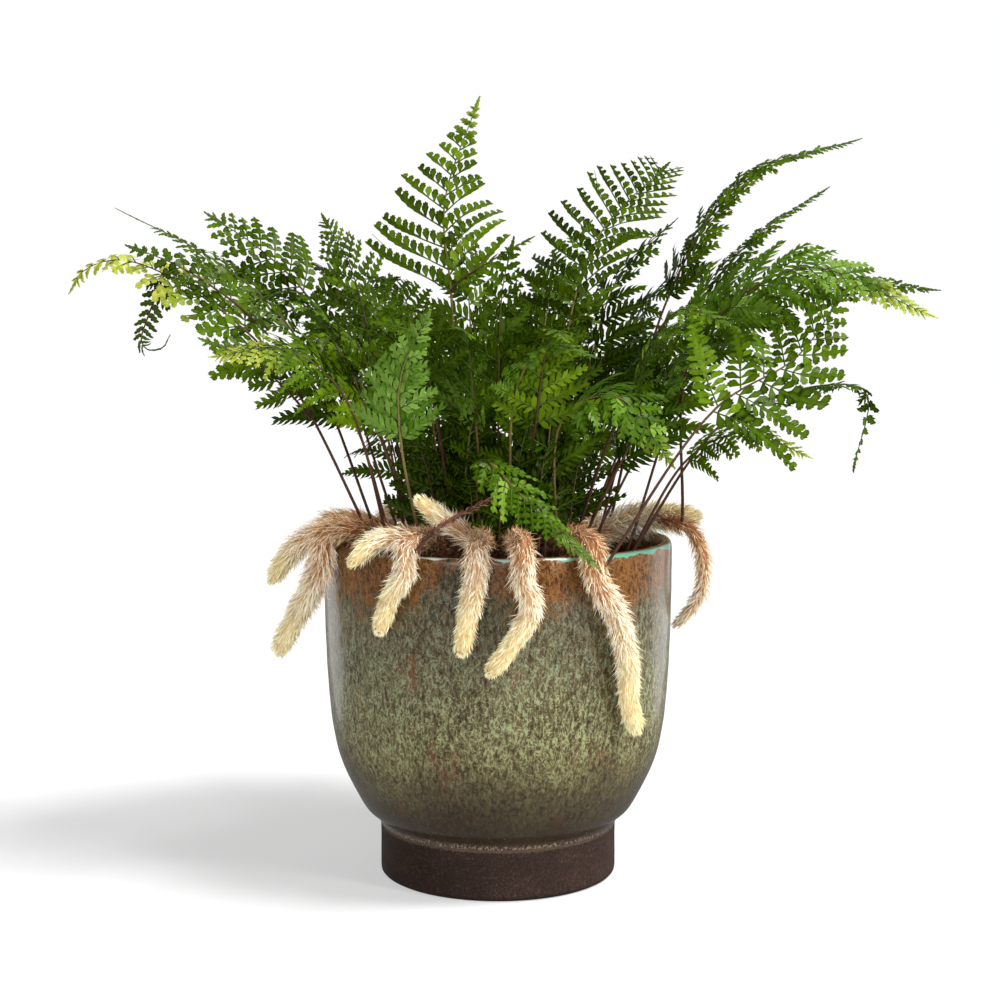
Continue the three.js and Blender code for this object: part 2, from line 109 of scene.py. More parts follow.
# Fur: hairs on each square millimetre, their length near the root and the tip, how far they stand off
# there, how much they stray, their radius, the share of the rhizome's radius under them, and the height
# under which the mix hides it.
HAIRS_PER_AREA = 1.15
HAIR_ROOT_LENGTH = 6.6
HAIR_TIP_LENGTH = 3.8
HAIR_ROOT_STAND = 0.58
HAIR_TIP_STAND = 0.30
HAIR_STRAY = 0.21
HAIR_RADIUS = 0.14
CORE_SHARE = 0.66
HIDDEN_BELOW = 153.0

# The pot's foot from the base up, the point of it where the glaze ends, the belly, the rim and the inside
# down from it, and the side of the mix from its base up: radius, height.
FOOT = [(56.2, 0), (57.1, 0.5), (57.8, 1.3), (58.0, 2.6), (58.0, 10), (57.9, 18), (58.0, 22.9), (57.5, 23.6),
        (57.5, 24.2), (58.1, 24.9), (58.5, 26.0), (58.9, 27.0), (59.5, 27.9), (60.4, 28.8)]
GLAZE_EDGE = 9
BELLY = [(61.7, 30), (65.5, 33.5), (71.5, 44), (77.4, 57), (81.2, 73), (83.4, 95), (84.5, 118), (85, 142),
         (85, 160)]
RIM = [(84.9, 162.4), (84.5, 163.8), (83.7, 164.7), (82.6, 165), (81.4, 164.8), (80.3, 164.1), (79.7, 162.8)]
INSIDE = [(79.4, 156), (79.2, 148), (77.9, 95), (75.1, 73), (63, 40), (50, 19), (34, 9)]
SOIL_SIDE = [(33, 9.4), (49.2, 19.4), (62.2, 40.4), (74.3, 73), (77.1, 95), (78.4, 140)]

# Each rhizome's branches. A branch runs from its root (bearing, radius, height) over the rim at a bearing
# and down the wall (bearing, height, distance off), or free of the pot (bearing, radius, height). Tone is
# the fur's colour at root and tip, from brown at 0 to pale yellow at 1. Loft is how long and loose it is.
RHIZOMES = {
    "left": [
        dict(radius=5.8, root=(200, 48, 155), rim=206, loft=1.3,
             hang=[(202, 142, 4), (197, 128, 10), (191, 112, 16)]),
        dict(radius=5.2, root=(200, 60, 163), tone=(0.05, 1.0), loft=1.3,
             free=[(200, 79, 173), (197, 95, 167), (193, 104, 157), (190, 110, 147)]),
    ],
    "left_back": [dict(radius=5.4, root=(162, 40, 155), rim=166, hang=[(169, 146, 0.5), (173, 132, 3)])],
    "front_left": [
        dict(radius=5.6, root=(-112, 44, 155), rim=-117, hang=[(-121, 148, 0.5), (-125, 131, 1)]),
        dict(radius=4.8, root=(-117, 74, 171), tone=(0.4, 1.0),
             free=[(-123, 84, 173), (-128, 93, 170), (-131, 100, 162)]),
    ],
    "front_mid": [
        dict(radius=5.8, root=(-92, 46, 155), rim=-96, hang=[(-98, 142, 0.5), (-100, 124, 0.5)]),
        dict(radius=4.6, root=(-95, 70, 168), tone=(0.3, 1.0),
             free=[(-102, 77, 176), (-110, 79, 183), (-116, 81, 190)]),
    ],
    "front_centre": [
        dict(radius=5.6, root=(-72, 44, 155), rim=-83,
             hang=[(-81, 144, 1.5), (-86, 128, 1), (-92, 115, 0.5)]),
    ],
    "front_right": [
        dict(radius=6, root=(-50, 42, 155), rim=-62,
             hang=[(-55, 138, 1), (-50, 114, 0.5), (-49, 97, 0.5), (-45, 83, 0.5)]),
    ],
    "right": [
        dict(radius=5.4, root=(32, 44, 155), tone=(0.42, 1.0), loft=1.8,
             free=[(24, 64, 169), (16, 80, 173), (9, 90, 174), (5, 98, 174.5)]),
        dict(radius=3.4, root=(14, 80, 172), tone=(0.12, 0.66),
             free=[(4, 88, 171.5), (0, 96, 167), (0, 101, 151), (1, 99, 135), (6, 89, 120)]),
    ],
    "back_right": [dict(radius=5.6, root=(54, 42, 155), rim=57, hang=[(61, 140, 0.5), (66, 121, 0.5)])],
    "back_mid": [
        dict(radius=5.8, root=(86, 44, 155), rim=93, hang=[(96, 136, 1), (93, 113, 0.5), (97, 98, 0.5)]),
        dict(radius=4.8, root=(94, 70, 169),
             free=[(101, 81, 174), (106, 93, 171), (110, 102, 160), (111, 106, 148)]),
    ],
    "back_left": [dict(radius=5.4, root=(126, 42, 155), rim=131, hang=[(130, 146, 1), (125, 130, 0.5)])],
}

# The dry scaly stalk that leans over the front rhizomes, foot first, and how many scales it has.
DRY_STALK = [(-37, -82, 167), (-28, -90, 178), (-15, -90, 186), (-2, -86, 192)]
STALK_SCALES = 220

VIEWER = (0, -1, 0.12)

# What a frond has unless its row says otherwise. Lobes: the cut of its leaflets. Spread: degrees from rib
# to leaflet at the leaf's foot, and how many fewer at its tip. Skew: degrees that the left leaflet turns
# out and the right one in, at foot and tip. Taper: the power by which leaflets shorten. Base: the share of
# their length at the foot. Full: their breadth. Tail: the bare share at the tip. Gold: how yellow, and the
# share of the leaf where that starts. Cool: how bluish its green is. Straw: how pale its stipe is.
PLAIN_FROND = dict(lobes="plume", spread=(62, 18), skew=(0, 0), taper=1.0, base=1.0, full=1.0, tail=0.04,
                   gold=(0.0, 0.5), cool=0.1, straw=0.1)

# Fronds seen in front. Path: the root, the foot of the leaf, its middle and its tip. Half: the leaf's
# greatest half width. Pairs: of leaflets. Facing: where its upper face looks. Light: how light its green.
FRONDS = {
    "tall": dict(
        path=[(-15, -22, 151), (-22, -26, 283), (-25, -24, 325), (-9, -13, 375)], half=45, pairs=13,
        facing=VIEWER, lobes="comb", light=0.48, gold=(0.35, 0.85), straw=0.7, spread=(52, -2), skew=(4, 18),
        taper=1.45, base=0.85, cool=0.0),
    "twin": dict(
        path=[(29, -10, 151), (33, -8, 262), (49, -4, 312), (82, 2, 346)], half=38, pairs=16,
        facing=(-0.35, -1, 0.1), lobes="comb", light=0.38, straw=0.6, spread=(55, 4), skew=(22, 20),
        taper=0.5, base=0.75, cool=0.0),
    "far_arch": dict(
        path=[(52, 24, 151), (86, 32, 284), (124, 40, 342), (184, 52, 363)], half=18, pairs=28,
        facing=(-0.75, -0.7, 1), light=0.4, spread=(44, 10), full=1.7),
    "near_arch": dict(
        path=[(40, 44, 151), (96, 54, 268), (131, 66, 312), (174, 84, 341)], half=14, pairs=22,
        facing=(-0.75, -0.7, 1), light=0.4, spread=(44, 10), full=1.6),
    "gold_right": dict(
        path=[(90.5, 3.2, 170.5), (94, -10, 256), (141, -30, 295), (201, -46, 272)], half=36, pairs=19,
        facing=(-0.2, -0.9, 0.8), light=0.60, gold=(0.9, 0.80), cool=0.5, full=1.35, spread=(48, 14)),
    "dark_right": dict(
        path=[(62, 12, 151), (108, 38, 262), (161, 36, 289), (219, 24, 286)], half=30, pairs=16,
        facing=(-0.3, -0.7, 1), light=0.35, spread=(48, 14), full=1.3),
    "fan_right": dict(
        path=[(44, -84.5, 156), (98, -68, 231), (136, -56, 254), (160, -46, 285)], half=41, pairs=9,
        facing=(-0.1, -1, 0.5), lobes="round", light=0.4),
    "hook_right": dict(
        path=[(58, -24, 151), (114, -12, 226), (177, -8, 237), (172, -9, 199)], half=20, pairs=14,
        facing=(0.15, 0.1, 1), light=0.35, taper=1.3),
    "lime_right": dict(
        path=[(58, -32, 151), (90, -36, 207), (115, -46, 219), (143, -54, 208)], half=20, pairs=12,
        facing=(0, -0.5, 1), light=0.55, gold=(0.6, 0.6)),
    "gold_left": dict(
        path=[(-56, -30, 160), (-103, -32, 250), (-150, -29, 289), (-178, -26, 299), (-195, -23, 294),
              (-202, -22, 284)], half=25, pairs=14,
        facing=(0.2, -0.7, 1), lobes="round", light=0.42, gold=(1.0, 0.42), taper=0.95),
    "spear_left": dict(
        path=[(-53, -4, 151), (-101, 8, 266), (-139, 16, 300), (-189, 26, 326)], half=30, pairs=15,
        facing=(0.5, -0.45, 1), light=0.35, taper=1.8, tail=0.2),
    "comb_left": dict(
        path=[(-45, 22, 151), (-92, 28, 278), (-117, 28, 305), (-145, 26, 324)], half=34, pairs=9,
        facing=(0.2, -0.9, 0.5), lobes="round", light=0.38),
    "lime_left": dict(
        path=[(-47, -44, 151), (-72, -50, 238), (-96, -58, 257), (-129, -64, 254)], half=28, pairs=13,
        facing=(0.1, -0.7, 1), light=0.55, gold=(0.7, 0.5)),
    "upright_left": dict(
        path=[(-34, 6, 151), (-60, 10, 250), (-72, 12, 296), (-86, 14, 322)], half=34, pairs=14,
        facing=(0.3, -1, 0.2), light=0.4),
    "bright_centre": dict(
        path=[(-32, -52, 151), (-44, -66, 218), (-43, -74, 246), (-30, -82, 274)], half=20, pairs=12,
        facing=(0, -1, 0.35), light=0.82, straw=1.0, cool=0.8, full=1.3),
    "drape_centre": dict(
        path=[(-6, -44, 151), (-8, -74, 208), (12, -102, 193), (42, -120, 166)], half=22, pairs=22,
        facing=(-0.3, -0.3, 1), light=0.50, straw=0.6, spread=(42, 12), cool=0.4, full=1.5, base=0.4),
    "bow_right": dict(
        path=[(28, -44, 151), (30, -50, 226), (54, -64, 236), (79, -70, 205)], half=25, pairs=12,
        facing=(-0.5, -0.5, 1), light=0.55, gold=(0.3, 0.8), straw=0.9, cool=0.6, full=1.2),
    "spring_centre": dict(
        path=[(7, -36, 151), (8, -62, 238), (21, -80, 259), (43, -96, 254)], half=24, pairs=12,
        facing=(-0.3, 0.1, 1), light=0.60, straw=0.9, cool=0.6),
}

# Fronds that fill the crown: bearing and radius of the root, bearing, reach and height of the tip, the
# share of the rise at which the leaf starts, and its half width.
CROWN = [
    (112, 26, 108, 66, 324, 0.4, 38),
    (62, 28, 52, 78, 320, 0.4, 38),
    (30, 42, 24, 124, 300, 0.45, 36),
    (148, 40, 152, 120, 304, 0.45, 36),
    (82, 52, 80, 148, 268, 0.45, 34),
    (116, 54, 121, 150, 262, 0.45, 34),
    (58, 60, 46, 158, 258, 0.45, 34),
    (150, 60, 156, 158, 256, 0.55, 33),
    (98, 66, 92, 166, 206, 0.5, 30),
    (64, 66, 60, 164, 204, 0.5, 30),
    (128, 66, 116, 156, 206, 0.5, 30),
    (-141, 31, -136, 66, 272, 0.42, 30),
    (-58, 30, -50, 76, 276, 0.32, 32),
    (-92, 12, -80, 42, 306, 0.34, 32),
    (-12, 46, -16, 104, 268, 0.36, 33),
    (-166, 44, -164, 98, 268, 0.52, 30),
    (10, 30, 8, 88, 318, 0.42, 36),
]

# Small sprigs that show by themselves in front, with the same keys as the fronds.
SPRIGS = [
    dict(path=[(-157, -28, 293), (-158, -28, 288), (-164, -30, 272), (-167, -31, 261), (-164, -31, 257),
               (-157, -31, 258), (-154, -31, 263)],
         half=7, pairs=9, facing=(-0.2, -1, 0.2), light=0.2, tail=0.32),
    dict(path=[(-114, -26, 270), (-126, -30, 281), (-149, -33, 296), (-172, -34, 305)],
         half=13, pairs=8, facing=(0.2, -1, 0.4), lobes="round", light=0.22),
    dict(path=[(-22, -27, 284), (-19, -28, 288), (-2, -31, 299), (16, -32, 309)],
         half=8, pairs=9, facing=(0.2, -0.5, 1), light=0.45),
    dict(path=[(-88, -34, 225), (-96, -40, 236), (-113, -46, 252), (-136, -50, 262)],
         half=13, pairs=8, facing=(0.2, -1, 0.5), light=0.5),
]

# Smaller fronds placed by rule: short ones low in the crown, each a golden angle on, and longer ones round
# its sides.
LOW_SPRAYS = 38
HIGH_SPRAYS = 15
GOLDEN_ANGLE = 137.5

# Lobes of length 1 and width 1, from the foot round the toothed end: along, across.
ROUND_LOBE = [
    (0.0, -0.07), (0.26, -0.20), (0.50, -0.45), (0.70, -0.50), (0.76, -0.35), (0.92, -0.31), (0.90, -0.09),
    (1.0, 0.03), (0.92, 0.17), (0.90, 0.40), (0.75, 0.37), (0.62, 0.50), (0.36, 0.30), (0.0, 0.07),
]
LANCE_LOBE = [
    (0.0, -0.20), (0.40, -0.50), (0.64, -0.44), (0.70, -0.22), (1.0, 0.0), (0.80, 0.26), (0.66, 0.50),
    (0.32, 0.42), (0.0, 0.20),
]
LOBE_MIDDLE = (0.48, 0.0)


# ---- Mesh helpers

class Shape:
    """The vertices, faces and vertex values of one mesh, in millimetres."""

    def __init__(self):
        self.points, self.faces, self.looks, self.values = [], [], [], {}
        self.count = 0

    def add(self, points, *groups, look=0, **values):
        points = np.asarray(points, float).reshape(-1, 3)
        for faces in groups:
            self.faces.append(np.asarray(faces, int) + self.count)
            self.looks.append(np.full(len(faces), look))
        for name, value in values.items():
            spread = np.broadcast_to(np.asarray(value, float), len(points))
            self.values.setdefault(name, []).append(spread)
        self.points.append(points)
        self.count += len(points)

    def mesh(self, name, materials, sharp=40):
        data = bpy.data.meshes.new(name)
        faces = [face for group in self.faces for face in group.tolist()]
        data.from_pydata((np.concatenate(self.points) * MM).tolist(), [], faces)
        for material in materials:
            data.materials.append(material)
        data.polygons.foreach_set("material_index", np.concatenate(self.looks).astype(np.int32))
        for value_name, parts in self.values.items():
            layer = data.attributes.new(value_name, "FLOAT", "POINT")
            layer.data.foreach_set("value", np.concatenate(parts).astype(np.float32))
        data.polygons.foreach_set("use_smooth", np.ones(len(data.polygons), bool))
        data.set_sharp_from_angle(angle=math.radians(sharp))
        return put(name, data)


def put(name, data):
    piece = bpy.data.objects.new(name, data)
    bpy.context.scene.collection.objects.link(piece)
    return piece


def dress(piece, node):
    """Puts a piece on the object's one body, in place of its CAD node."""
    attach(piece, "root")
    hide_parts(node)


def polar(bearing, radius, height):
    angle = math.radians(bearing)
    return radius * math.cos(angle), radius * math.sin(angle), height


def unit(vectors):
    return vectors / np.maximum(np.linalg.norm(vectors, axis=-1, keepdims=True), 1e-9)


def turns(sides):
    """The angles of a round's points."""
    return np.linspace(0, 2 * math.pi, sides, endpoint=False)


def circle(radius, turn, height):
    """Points at a radius and a height, one for each turn."""
    x = radius * np.cos(turn)
    return np.stack([x, radius * np.sin(turn), height + 0 * x], axis=-1)


def smooth_path(points, steps=48):
    """A centripetal Catmull-Rom curve through points, as dense points."""
    points = [np.array(point, float) for point in points]
    padded = [2 * points[0] - points[1], *points, 2 * points[-1] - points[-2]]
    share = np.linspace(0, 1, steps, endpoint=False)[:, None]
    dense = []
    for before, start, end, after in zip(padded, padded[1:], padded[2:], padded[3:]):
        steps_between = (start - before, end - start, after - end)
        gap_0, gap_1, gap_2 = (np.linalg.norm(step) ** 0.5 for step in steps_between)
        leave = ((start - before) / gap_0 - (end - before) / (gap_0 + gap_1) + (end - start) / gap_1) * gap_1
        arrive = ((end - start) / gap_1 - (after - start) / (gap_1 + gap_2) + (after - end) / gap_2) * gap_1
        square, cube = 3 * (end - start) - 2 * leave - arrive, 2 * (start - end) + leave + arrive
        dense.append(start + leave * share + square * share**2 + cube * share**3)
    return np.concatenate([*dense, points[-1][None]])


class Spine:
    """A curve with a side and a normal at each place along it. The normal leans towards facing."""

    def __init__(self, path, facing):
        self.points = smooth_path(path)
        steps = np.linalg.norm(np.diff(self.points, axis=0), axis=1)
        self.reached = np.concatenate([[0], np.cumsum(steps)])
        self.length = self.reached[-1]
        self.along = unit(np.gradient(self.points, axis=0))
        self.side = unit(np.cross(self.along, np.array(facing, float)))
        self.normal = np.cross(self.side, self.along)

    def at(self, place):
        """The points and the three directions at places along the curve."""
        place = np.clip(place, 0, self.length)
        tables = (self.points, self.along, self.side, self.normal)
        return [np.stack([np.interp(place, self.reached, table[:, k]) for k in range(3)], axis=-1)
                for table in tables]

    def bend(self, across, along, lift):
        """Points of a flat pattern, put on the curve."""
        origin, forward, side, normal = self.at(along)
        over = np.maximum(along - self.length, 0)
        return origin + forward * over[:, None] + side * across[:, None] + normal * lift[:, None]

    def add_tube(self, shape, place, radius, sides, **values):
        """A tube round the curve, with a radius for each place or for each of its points."""
        origin, _, side, normal = self.at(place)
        turn = turns(sides)[:, None]
        out = side[:, None] * np.cos(turn) + normal[:, None] * np.sin(turn)
        points = origin[:, None] + out * radius[..., None]
        shape.add(points, *tube_faces(len(place), sides, flip=True), **values)

    def scatter(self, place, rng):
        """Roots round the curve: the middle, the way along and the way out, turned at random."""
        turn = rng.uniform(0, 2 * math.pi, (len(place), 1))
        origin, along, side, normal = self.at(place)
        return origin, along, side * np.cos(turn) + normal * np.sin(turn)


def tube_faces(rings, sides, flip=False):
    """The walls between rings of points, each with the same number of sides, and the flat ends."""
    ring, side = np.meshgrid(np.arange(rings - 1), np.arange(sides), indexing="ij")
    here = (ring * sides + side).ravel()
    beside = (ring * sides + (side + 1) % sides).ravel()
    walls = np.stack([here, beside, beside + sides, here + sides], axis=1)
    ends = np.array([list(range(sides))[::-1], [(rings - 1) * sides + i for i in range(sides)]])
    return (walls[:, ::-1], ends[:, ::-1]) if flip else (walls, ends)


def copies(template, count, size):
    """A template's faces for count copies of it, each with size points."""
    template = np.asarray(template)
    return (template[None] + np.arange(count)[:, None, None] * size).reshape(-1, template.shape[1])


# ---- Material helpers

def linear(shade):
    """A linear colour from three 0 to 255 screen values, or from one linear level of grey."""
    if isinstance(shade, (int, float)):
        return shade, shade, shade, 1.0
    parts = [value / 255 for value in shade]
    return (*[part / 12.92 if part <= 0.04045 else ((part + 0.055) / 1.055) ** 2.4 for part in parts], 1.0)


class Look:
    """A node material on one Principled shader, with short words for the nodes that it uses."""

    def __init__(self, name, **constants):
        self.material = bpy.data.materials.new(name)
        self.material.use_nodes = True
        self.nodes = self.material.node_tree.nodes
        self.shader = self.nodes["Principled BSDF"]
        for socket, value in constants.items():
            self.shader.inputs[socket.replace("_", " ")].default_value = value

    def feed(self, socket, value):
        """Gives an input another node's output, a number, or a colour in screen values."""
        if isinstance(value, bpy.types.NodeSocket):
            self.material.node_tree.links.new(value, socket)
        else:
            socket.default_value = linear(value) if isinstance(value, tuple) else value

    def node(self, kind, inputs, output=0, **settings):
        """An output of a new node that has these settings and inputs."""
        node = self.nodes.new(kind)
        for setting, value in settings.items():
            setattr(node, setting, value)
        for socket, value in inputs.items():
            self.feed(node.inputs[socket], value)
        return node.outputs[output]

    def place(self, upright=1):
        """Object coordinates, stretched along Z."""
        coordinates = self.node("ShaderNodeTexCoord", {}, "Object")
        return self.node("ShaderNodeMapping", {"Vector": coordinates, "Scale": [1, 1, upright]})

    def axis(self, name):
        return self.node("ShaderNodeSeparateXYZ", {0: self.place()}, name)

    def distance(self):
        """How far a point is from the upright axis."""
        return self.node("ShaderNodeVectorMath", {0: self.place(0)}, "Value", operation="LENGTH")

    def value(self, name):
        return self.node("ShaderNodeAttribute", {}, "Fac", attribute_name=name)

    def noise(self, scale, upright=1.0, detail=3.0, roughness=0.55, distortion=0.0):
        """Noise of a scale. Upright below 1 draws it out along Z."""
        inputs = dict(Vector=self.place(upright), Scale=scale, Detail=detail, Roughness=roughness,
                      Distortion=distortion)
        return self.node("ShaderNodeTexNoise", inputs, "Fac")

    def math(self, operation, first, second=0.0):
        return self.node("ShaderNodeMath", {0: first, 1: second}, operation=operation)

    def add(self, total, *others):
        for other in others:
            total = self.math("ADD", total, other)
        return total

    def times(self, first, second):
        return self.math("MULTIPLY", first, second)

    def sway(self, value, amount):
        """A noise value as a swing of amount round zero."""
        return self.times(self.math("SUBTRACT", value, 0.5), amount)

    def span(self, value, low, high, start=0.0, end=1.0):
        """A value between low and high, spread smoothly from start to end."""
        inputs = dict(enumerate((value, low, high, start, end)))
        return self.node("ShaderNodeMapRange", inputs, interpolation_type="SMOOTHSTEP")

    def ramp(self, value, stops):
        """A blend of colours, each with its place from 0 to 1, by a value."""
        node = self.nodes.new("ShaderNodeValToRGB")
        self.feed(node.inputs[0], value)
        elements = node.color_ramp.elements
        while len(elements) < len(stops):
            elements.new(0.5)
        for element, (position, shade) in zip(elements, stops.items()):
            element.position = position
            element.color = linear(shade)
        return node.outputs["Color"]

    def mix(self, share, first, second, blend="MIX"):
        inputs = {0: share, 6: first, 7: second}
        return self.node("ShaderNodeMix", inputs, 2, data_type="RGBA", blend_type=blend)

    def bump(self, height, strength, distance):
        bump = self.node("ShaderNodeBump", dict(Height=height, Strength=strength, Distance=distance))
        self.feed(self.shader.inputs["Normal"], bump)

    def finish(self, colour, roughness=None):
        self.feed(self.shader.inputs["Base Color"], colour)
        if roughness is not None:
            self.feed(self.shader.inputs["Roughness"], roughness)
        return self.material


# ---- Materials

class Glaze(Look):
    """Reactive glaze: sage flecks that curl and run down over brown, rust at the rim and a jade lip, pale
    with a painted highlight in the middle.
    """

    def __init__(self):
        super().__init__("glaze", IOR=1.48, Coat_Weight=0.25, Coat_Roughness=0.05)
        self.height = self.axis("Z")
        self.runs = self.noise(620, 0.36, detail=5, roughness=0.62, distortion=0.35)
        self.fine = self.noise(1150, 0.5, roughness=0.6)
        self.cloud = self.noise(26, 0.55, roughness=0.6)
        self.patch = self.noise(62, 0.6, detail=4)
        self.grain = self.sway(self.fine, 0.22)
        self.drift = self.sway(self.cloud, 0.30)
        self.flecks = self.math("MAXIMUM", self.curls(300, 0.68, 0.050), self.curls(470, 0.55, 0.030))

    def curls(self, scale, upright, width):
        """Thin curling lines, where a warped noise passes through its middle value."""
        field = self.noise(scale, upright, detail=2, roughness=0.45, distortion=1.2)
        apart = self.math("ABSOLUTE", self.math("SUBTRACT", field, 0.5))
        return self.span(apart, 0.2 * width, width, 1.0, 0.0)

    def body(self):
        """Brown with reddish patches, and sage flecks that crowd round the belly."""
        rise = self.add(self.math("DIVIDE", self.height, POT_HEIGHT * MM), self.sway(self.cloud, 0.22))
        ground = self.ramp(self.add(self.runs, self.drift, self.grain), {
            0.28: (38, 28, 16), 0.42: (68, 54, 34), 0.54: (90, 78, 52), 0.70: (112, 104, 74)})
        reddish = self.span(self.add(self.patch, self.times(self.grain, 0.6)), 0.61, 0.69, 0.0, 0.7)
        ground = self.mix(reddish, ground, (112, 68, 46))
        share = self.ramp(rise, {0.15: 0.26, 0.32: 0.48, 0.48: 0.95, 0.66: 0.80, 0.90: 0.62})
        share = self.times(share, self.span(self.add(self.runs, self.drift), 0.32, 0.58, 0.22, 1.0))
        sage = self.ramp(rise, {
            0.22: (100, 92, 64), 0.42: (152, 156, 104), 0.60: (148, 158, 116), 0.80: (130, 140, 116)})
        return self.mix(self.times(self.flecks, share), ground, sage)

    def rusted(self, colour):
        """The rust band below the rim, with its ragged lower edge."""
        reach = self.add(self.sway(self.cloud, 0.085), self.sway(self.runs, 0.070))
        share = self.span(self.add(self.height, reach), 0.139, 0.153, 0.0, 0.95)
        rust = self.ramp(self.add(self.runs, self.grain), {
            0.34: (50, 27, 6), 0.50: (90, 52, 12), 0.66: (122, 80, 32)})
        return self.mix(share, colour, self.mix(self.times(self.flecks, 0.6), rust, (146, 98, 44)))

    def lipped(self, colour):
        """The edge of the lip: brown at the left, pale glaze with a painted highlight in the middle, and jade
        and broader at the right.
        """
        right = self.add(self.axis("X"), self.sway(self.patch, 0.05))
        start = self.span(right, 0.020, 0.045, 0.0, 0.0013)
        edge = self.add(self.height, start, self.sway(self.patch, 0.0095))
        outer = self.span(self.distance(), 0.0834, 0.0842)
        lip = self.times(self.span(edge, 0.1637, 0.1643), outer)
        # The pale middle stops are pale glaze and a painted highlight along the lip.
        shade = self.ramp(self.add(self.times(right, 5.0), 0.5), {
            0.24: (96, 62, 36), 0.34: (202, 216, 206), 0.56: (186, 214, 202), 0.72: (86, 150, 126)})
        return self.mix(lip, colour, shade)

    def paint(self):
        """The whole coat, darker towards the foot and thin where it ends."""
        colour = self.lipped(self.rusted(self.body()))
        low = self.span(self.add(self.height, self.times(self.drift, 0.05)), 0.028, 0.084, 0.86, 0.0)
        colour = self.mix(low, colour, (40, 30, 20))
        foot = self.add(self.height, self.add(self.sway(self.cloud, 0.003), self.sway(self.runs, 0.006)))
        thin = self.mix(self.span(self.fine, 0.46, 0.62), (58, 44, 36), (132, 112, 92))
        colour = self.mix(self.span(foot, 0.0262, 0.0274), thin, colour)
        self.bump(self.add(self.runs, self.times(self.flecks, 0.4)), 0.25, 0.0004)
        return self.finish(colour, self.span(self.runs, 0.35, 0.7, 0.15, 0.28))


def clay_look():
    """The bare foot: rough dark brown clay with pale grit, paler at its seam, and darkened by painted shade
    where it stands.
    """
    look = Look("bare_clay", Roughness=0.72, IOR=1.35)
    grit = look.noise(900, detail=4, roughness=0.7)
    smear = look.noise(60, 2.2)
    colour = look.ramp(look.add(grit, look.sway(smear, 0.3)), {
        0.30: (30, 17, 10), 0.52: (45, 28, 19), 0.70: (70, 50, 38), 0.82: (128, 108, 92)})
    height = look.add(look.axis("Z"), look.sway(grit, 0.002))
    seam = look.span(height, 0.0230, 0.0238)
    # Painted contact shadow: the lowest two millimetres of the foot darken nearly to black.
    low = look.span(height, 0.0006, 0.0026, 0.7, 0.0)
    colour = look.mix(look.times(seam, 0.25), colour, (140, 116, 96))
    look.bump(grit, 0.5, 0.0005)
    return look.finish(look.mix(low, colour, (20, 13, 9)))


def soil_look():
    """Dark moist potting mix with bark."""
    look = Look("potting_mix", Roughness=0.95)
    crumb = look.noise(700, detail=5, roughness=0.7)
    level = look.times(look.add(look.value("tint"), crumb), 0.5)
    look.bump(crumb, 0.8, 0.001)
    return look.finish(look.ramp(level, {
        0.2: (22, 14, 10), 0.45: (48, 33, 23), 0.65: (78, 56, 38), 0.85: (112, 86, 60)}))


def fur_look():
    """Scales that lie like hair: brown at a rhizome's root, blond further out, cream at its tip, and painted
    shade at their roots.
    """
    look = Look("rhizome_fur", Roughness=0.72, Sheen_Weight=0.3, Sheen_Roughness=0.5,
                Sheen_Tint=linear((255, 240, 215)))
    tint = look.value("tint")
    tone = look.add(look.value("tone"), look.sway(tint, 0.26))
    colour = look.ramp(tone, {
        0.0: (144, 80, 30), 0.14: (196, 132, 68), 0.36: (246, 218, 174), 0.58: (255, 246, 226),
        0.82: (255, 253, 228), 1.0: (255, 253, 212)})
    strand = look.mix(look.span(tint, 0.1, 0.6), (214, 187, 152), (255, 255, 255))
    colour = look.mix(1.0, colour, strand, "MULTIPLY")
    # Painted shade among the hairs: a brown tint at a hair's root and on the stem under them, paler towards
    # the tip.
    shadow = look.mix(look.span(tone, 0.45, 0.9), (178, 132, 84), (250, 236, 206))
    painted_depth_shade = look.mix(1.0, colour, shadow, "MULTIPLY")
    return look.finish(look.mix(look.span(look.value("fade"), 0.0, 0.45), painted_depth_shade, colour))


def leaf_look(name):
    """Glossy leaf: each lobe has its own green, lighter along its midrib as a paler vein with a painted
    highlight, and young tips are yellow.
    """
    look = Look(name, IOR=1.20, Specular_Tint=(0.9, 1.0, 0.5, 1.0))
    mottle = look.noise(420)
    edge = look.value("edge")
    level = look.add(look.value("shade"), look.sway(mottle, 0.5))
    green = look.ramp(level, {0.05: (13, 24, 0), 0.35: (38, 59, 1), 0.6: (68, 91, 2), 0.95: (114, 144, 24)})
    cool = look.ramp(level, {0.05: (8, 24, 1), 0.35: (26, 58, 4), 0.6: (52, 92, 20), 0.95: (114, 150, 72)})
    green = look.mix(look.value("cool"), green, cool)
    # Towards the midrib the green is drawn to a lighter mid green: a paler vein and a painted highlight.
    green = look.mix(look.span(edge, 0.2, 1.0, 0.30, 0.0), green, (90, 117, 10))
    gold = look.ramp(mottle, {0.35: (134, 150, 40), 0.65: (184, 184, 84)})
    look.bump(look.add(edge, mottle), 0.25, 0.0004)
    return look.finish(look.mix(look.value("gold"), green, gold), look.span(mottle, 0.3, 0.7, 0.26, 0.42))


def stem_look():
    """Wiry stipes: dark red-brown or straw at the foot, and greener up the leaf."""
    look = Look("stem", Roughness=0.55, IOR=1.3)
    streak = look.noise(900, 0.15)
    rise = look.add(look.value("rise"), look.sway(streak, 0.3))
    dark = look.ramp(rise, {0.0: (62, 34, 26), 0.45: (78, 44, 30), 0.68: (72, 60, 30), 1.0: (62, 84, 20)})
    straw = look.ramp(rise, {0.0: (98, 70, 40), 0.5: (122, 106, 60), 1.0: (78, 96, 30)})
    look.bump(streak, 0.3, 0.0003)
    return look.finish(look.mix(look.value("straw"), dark, straw))


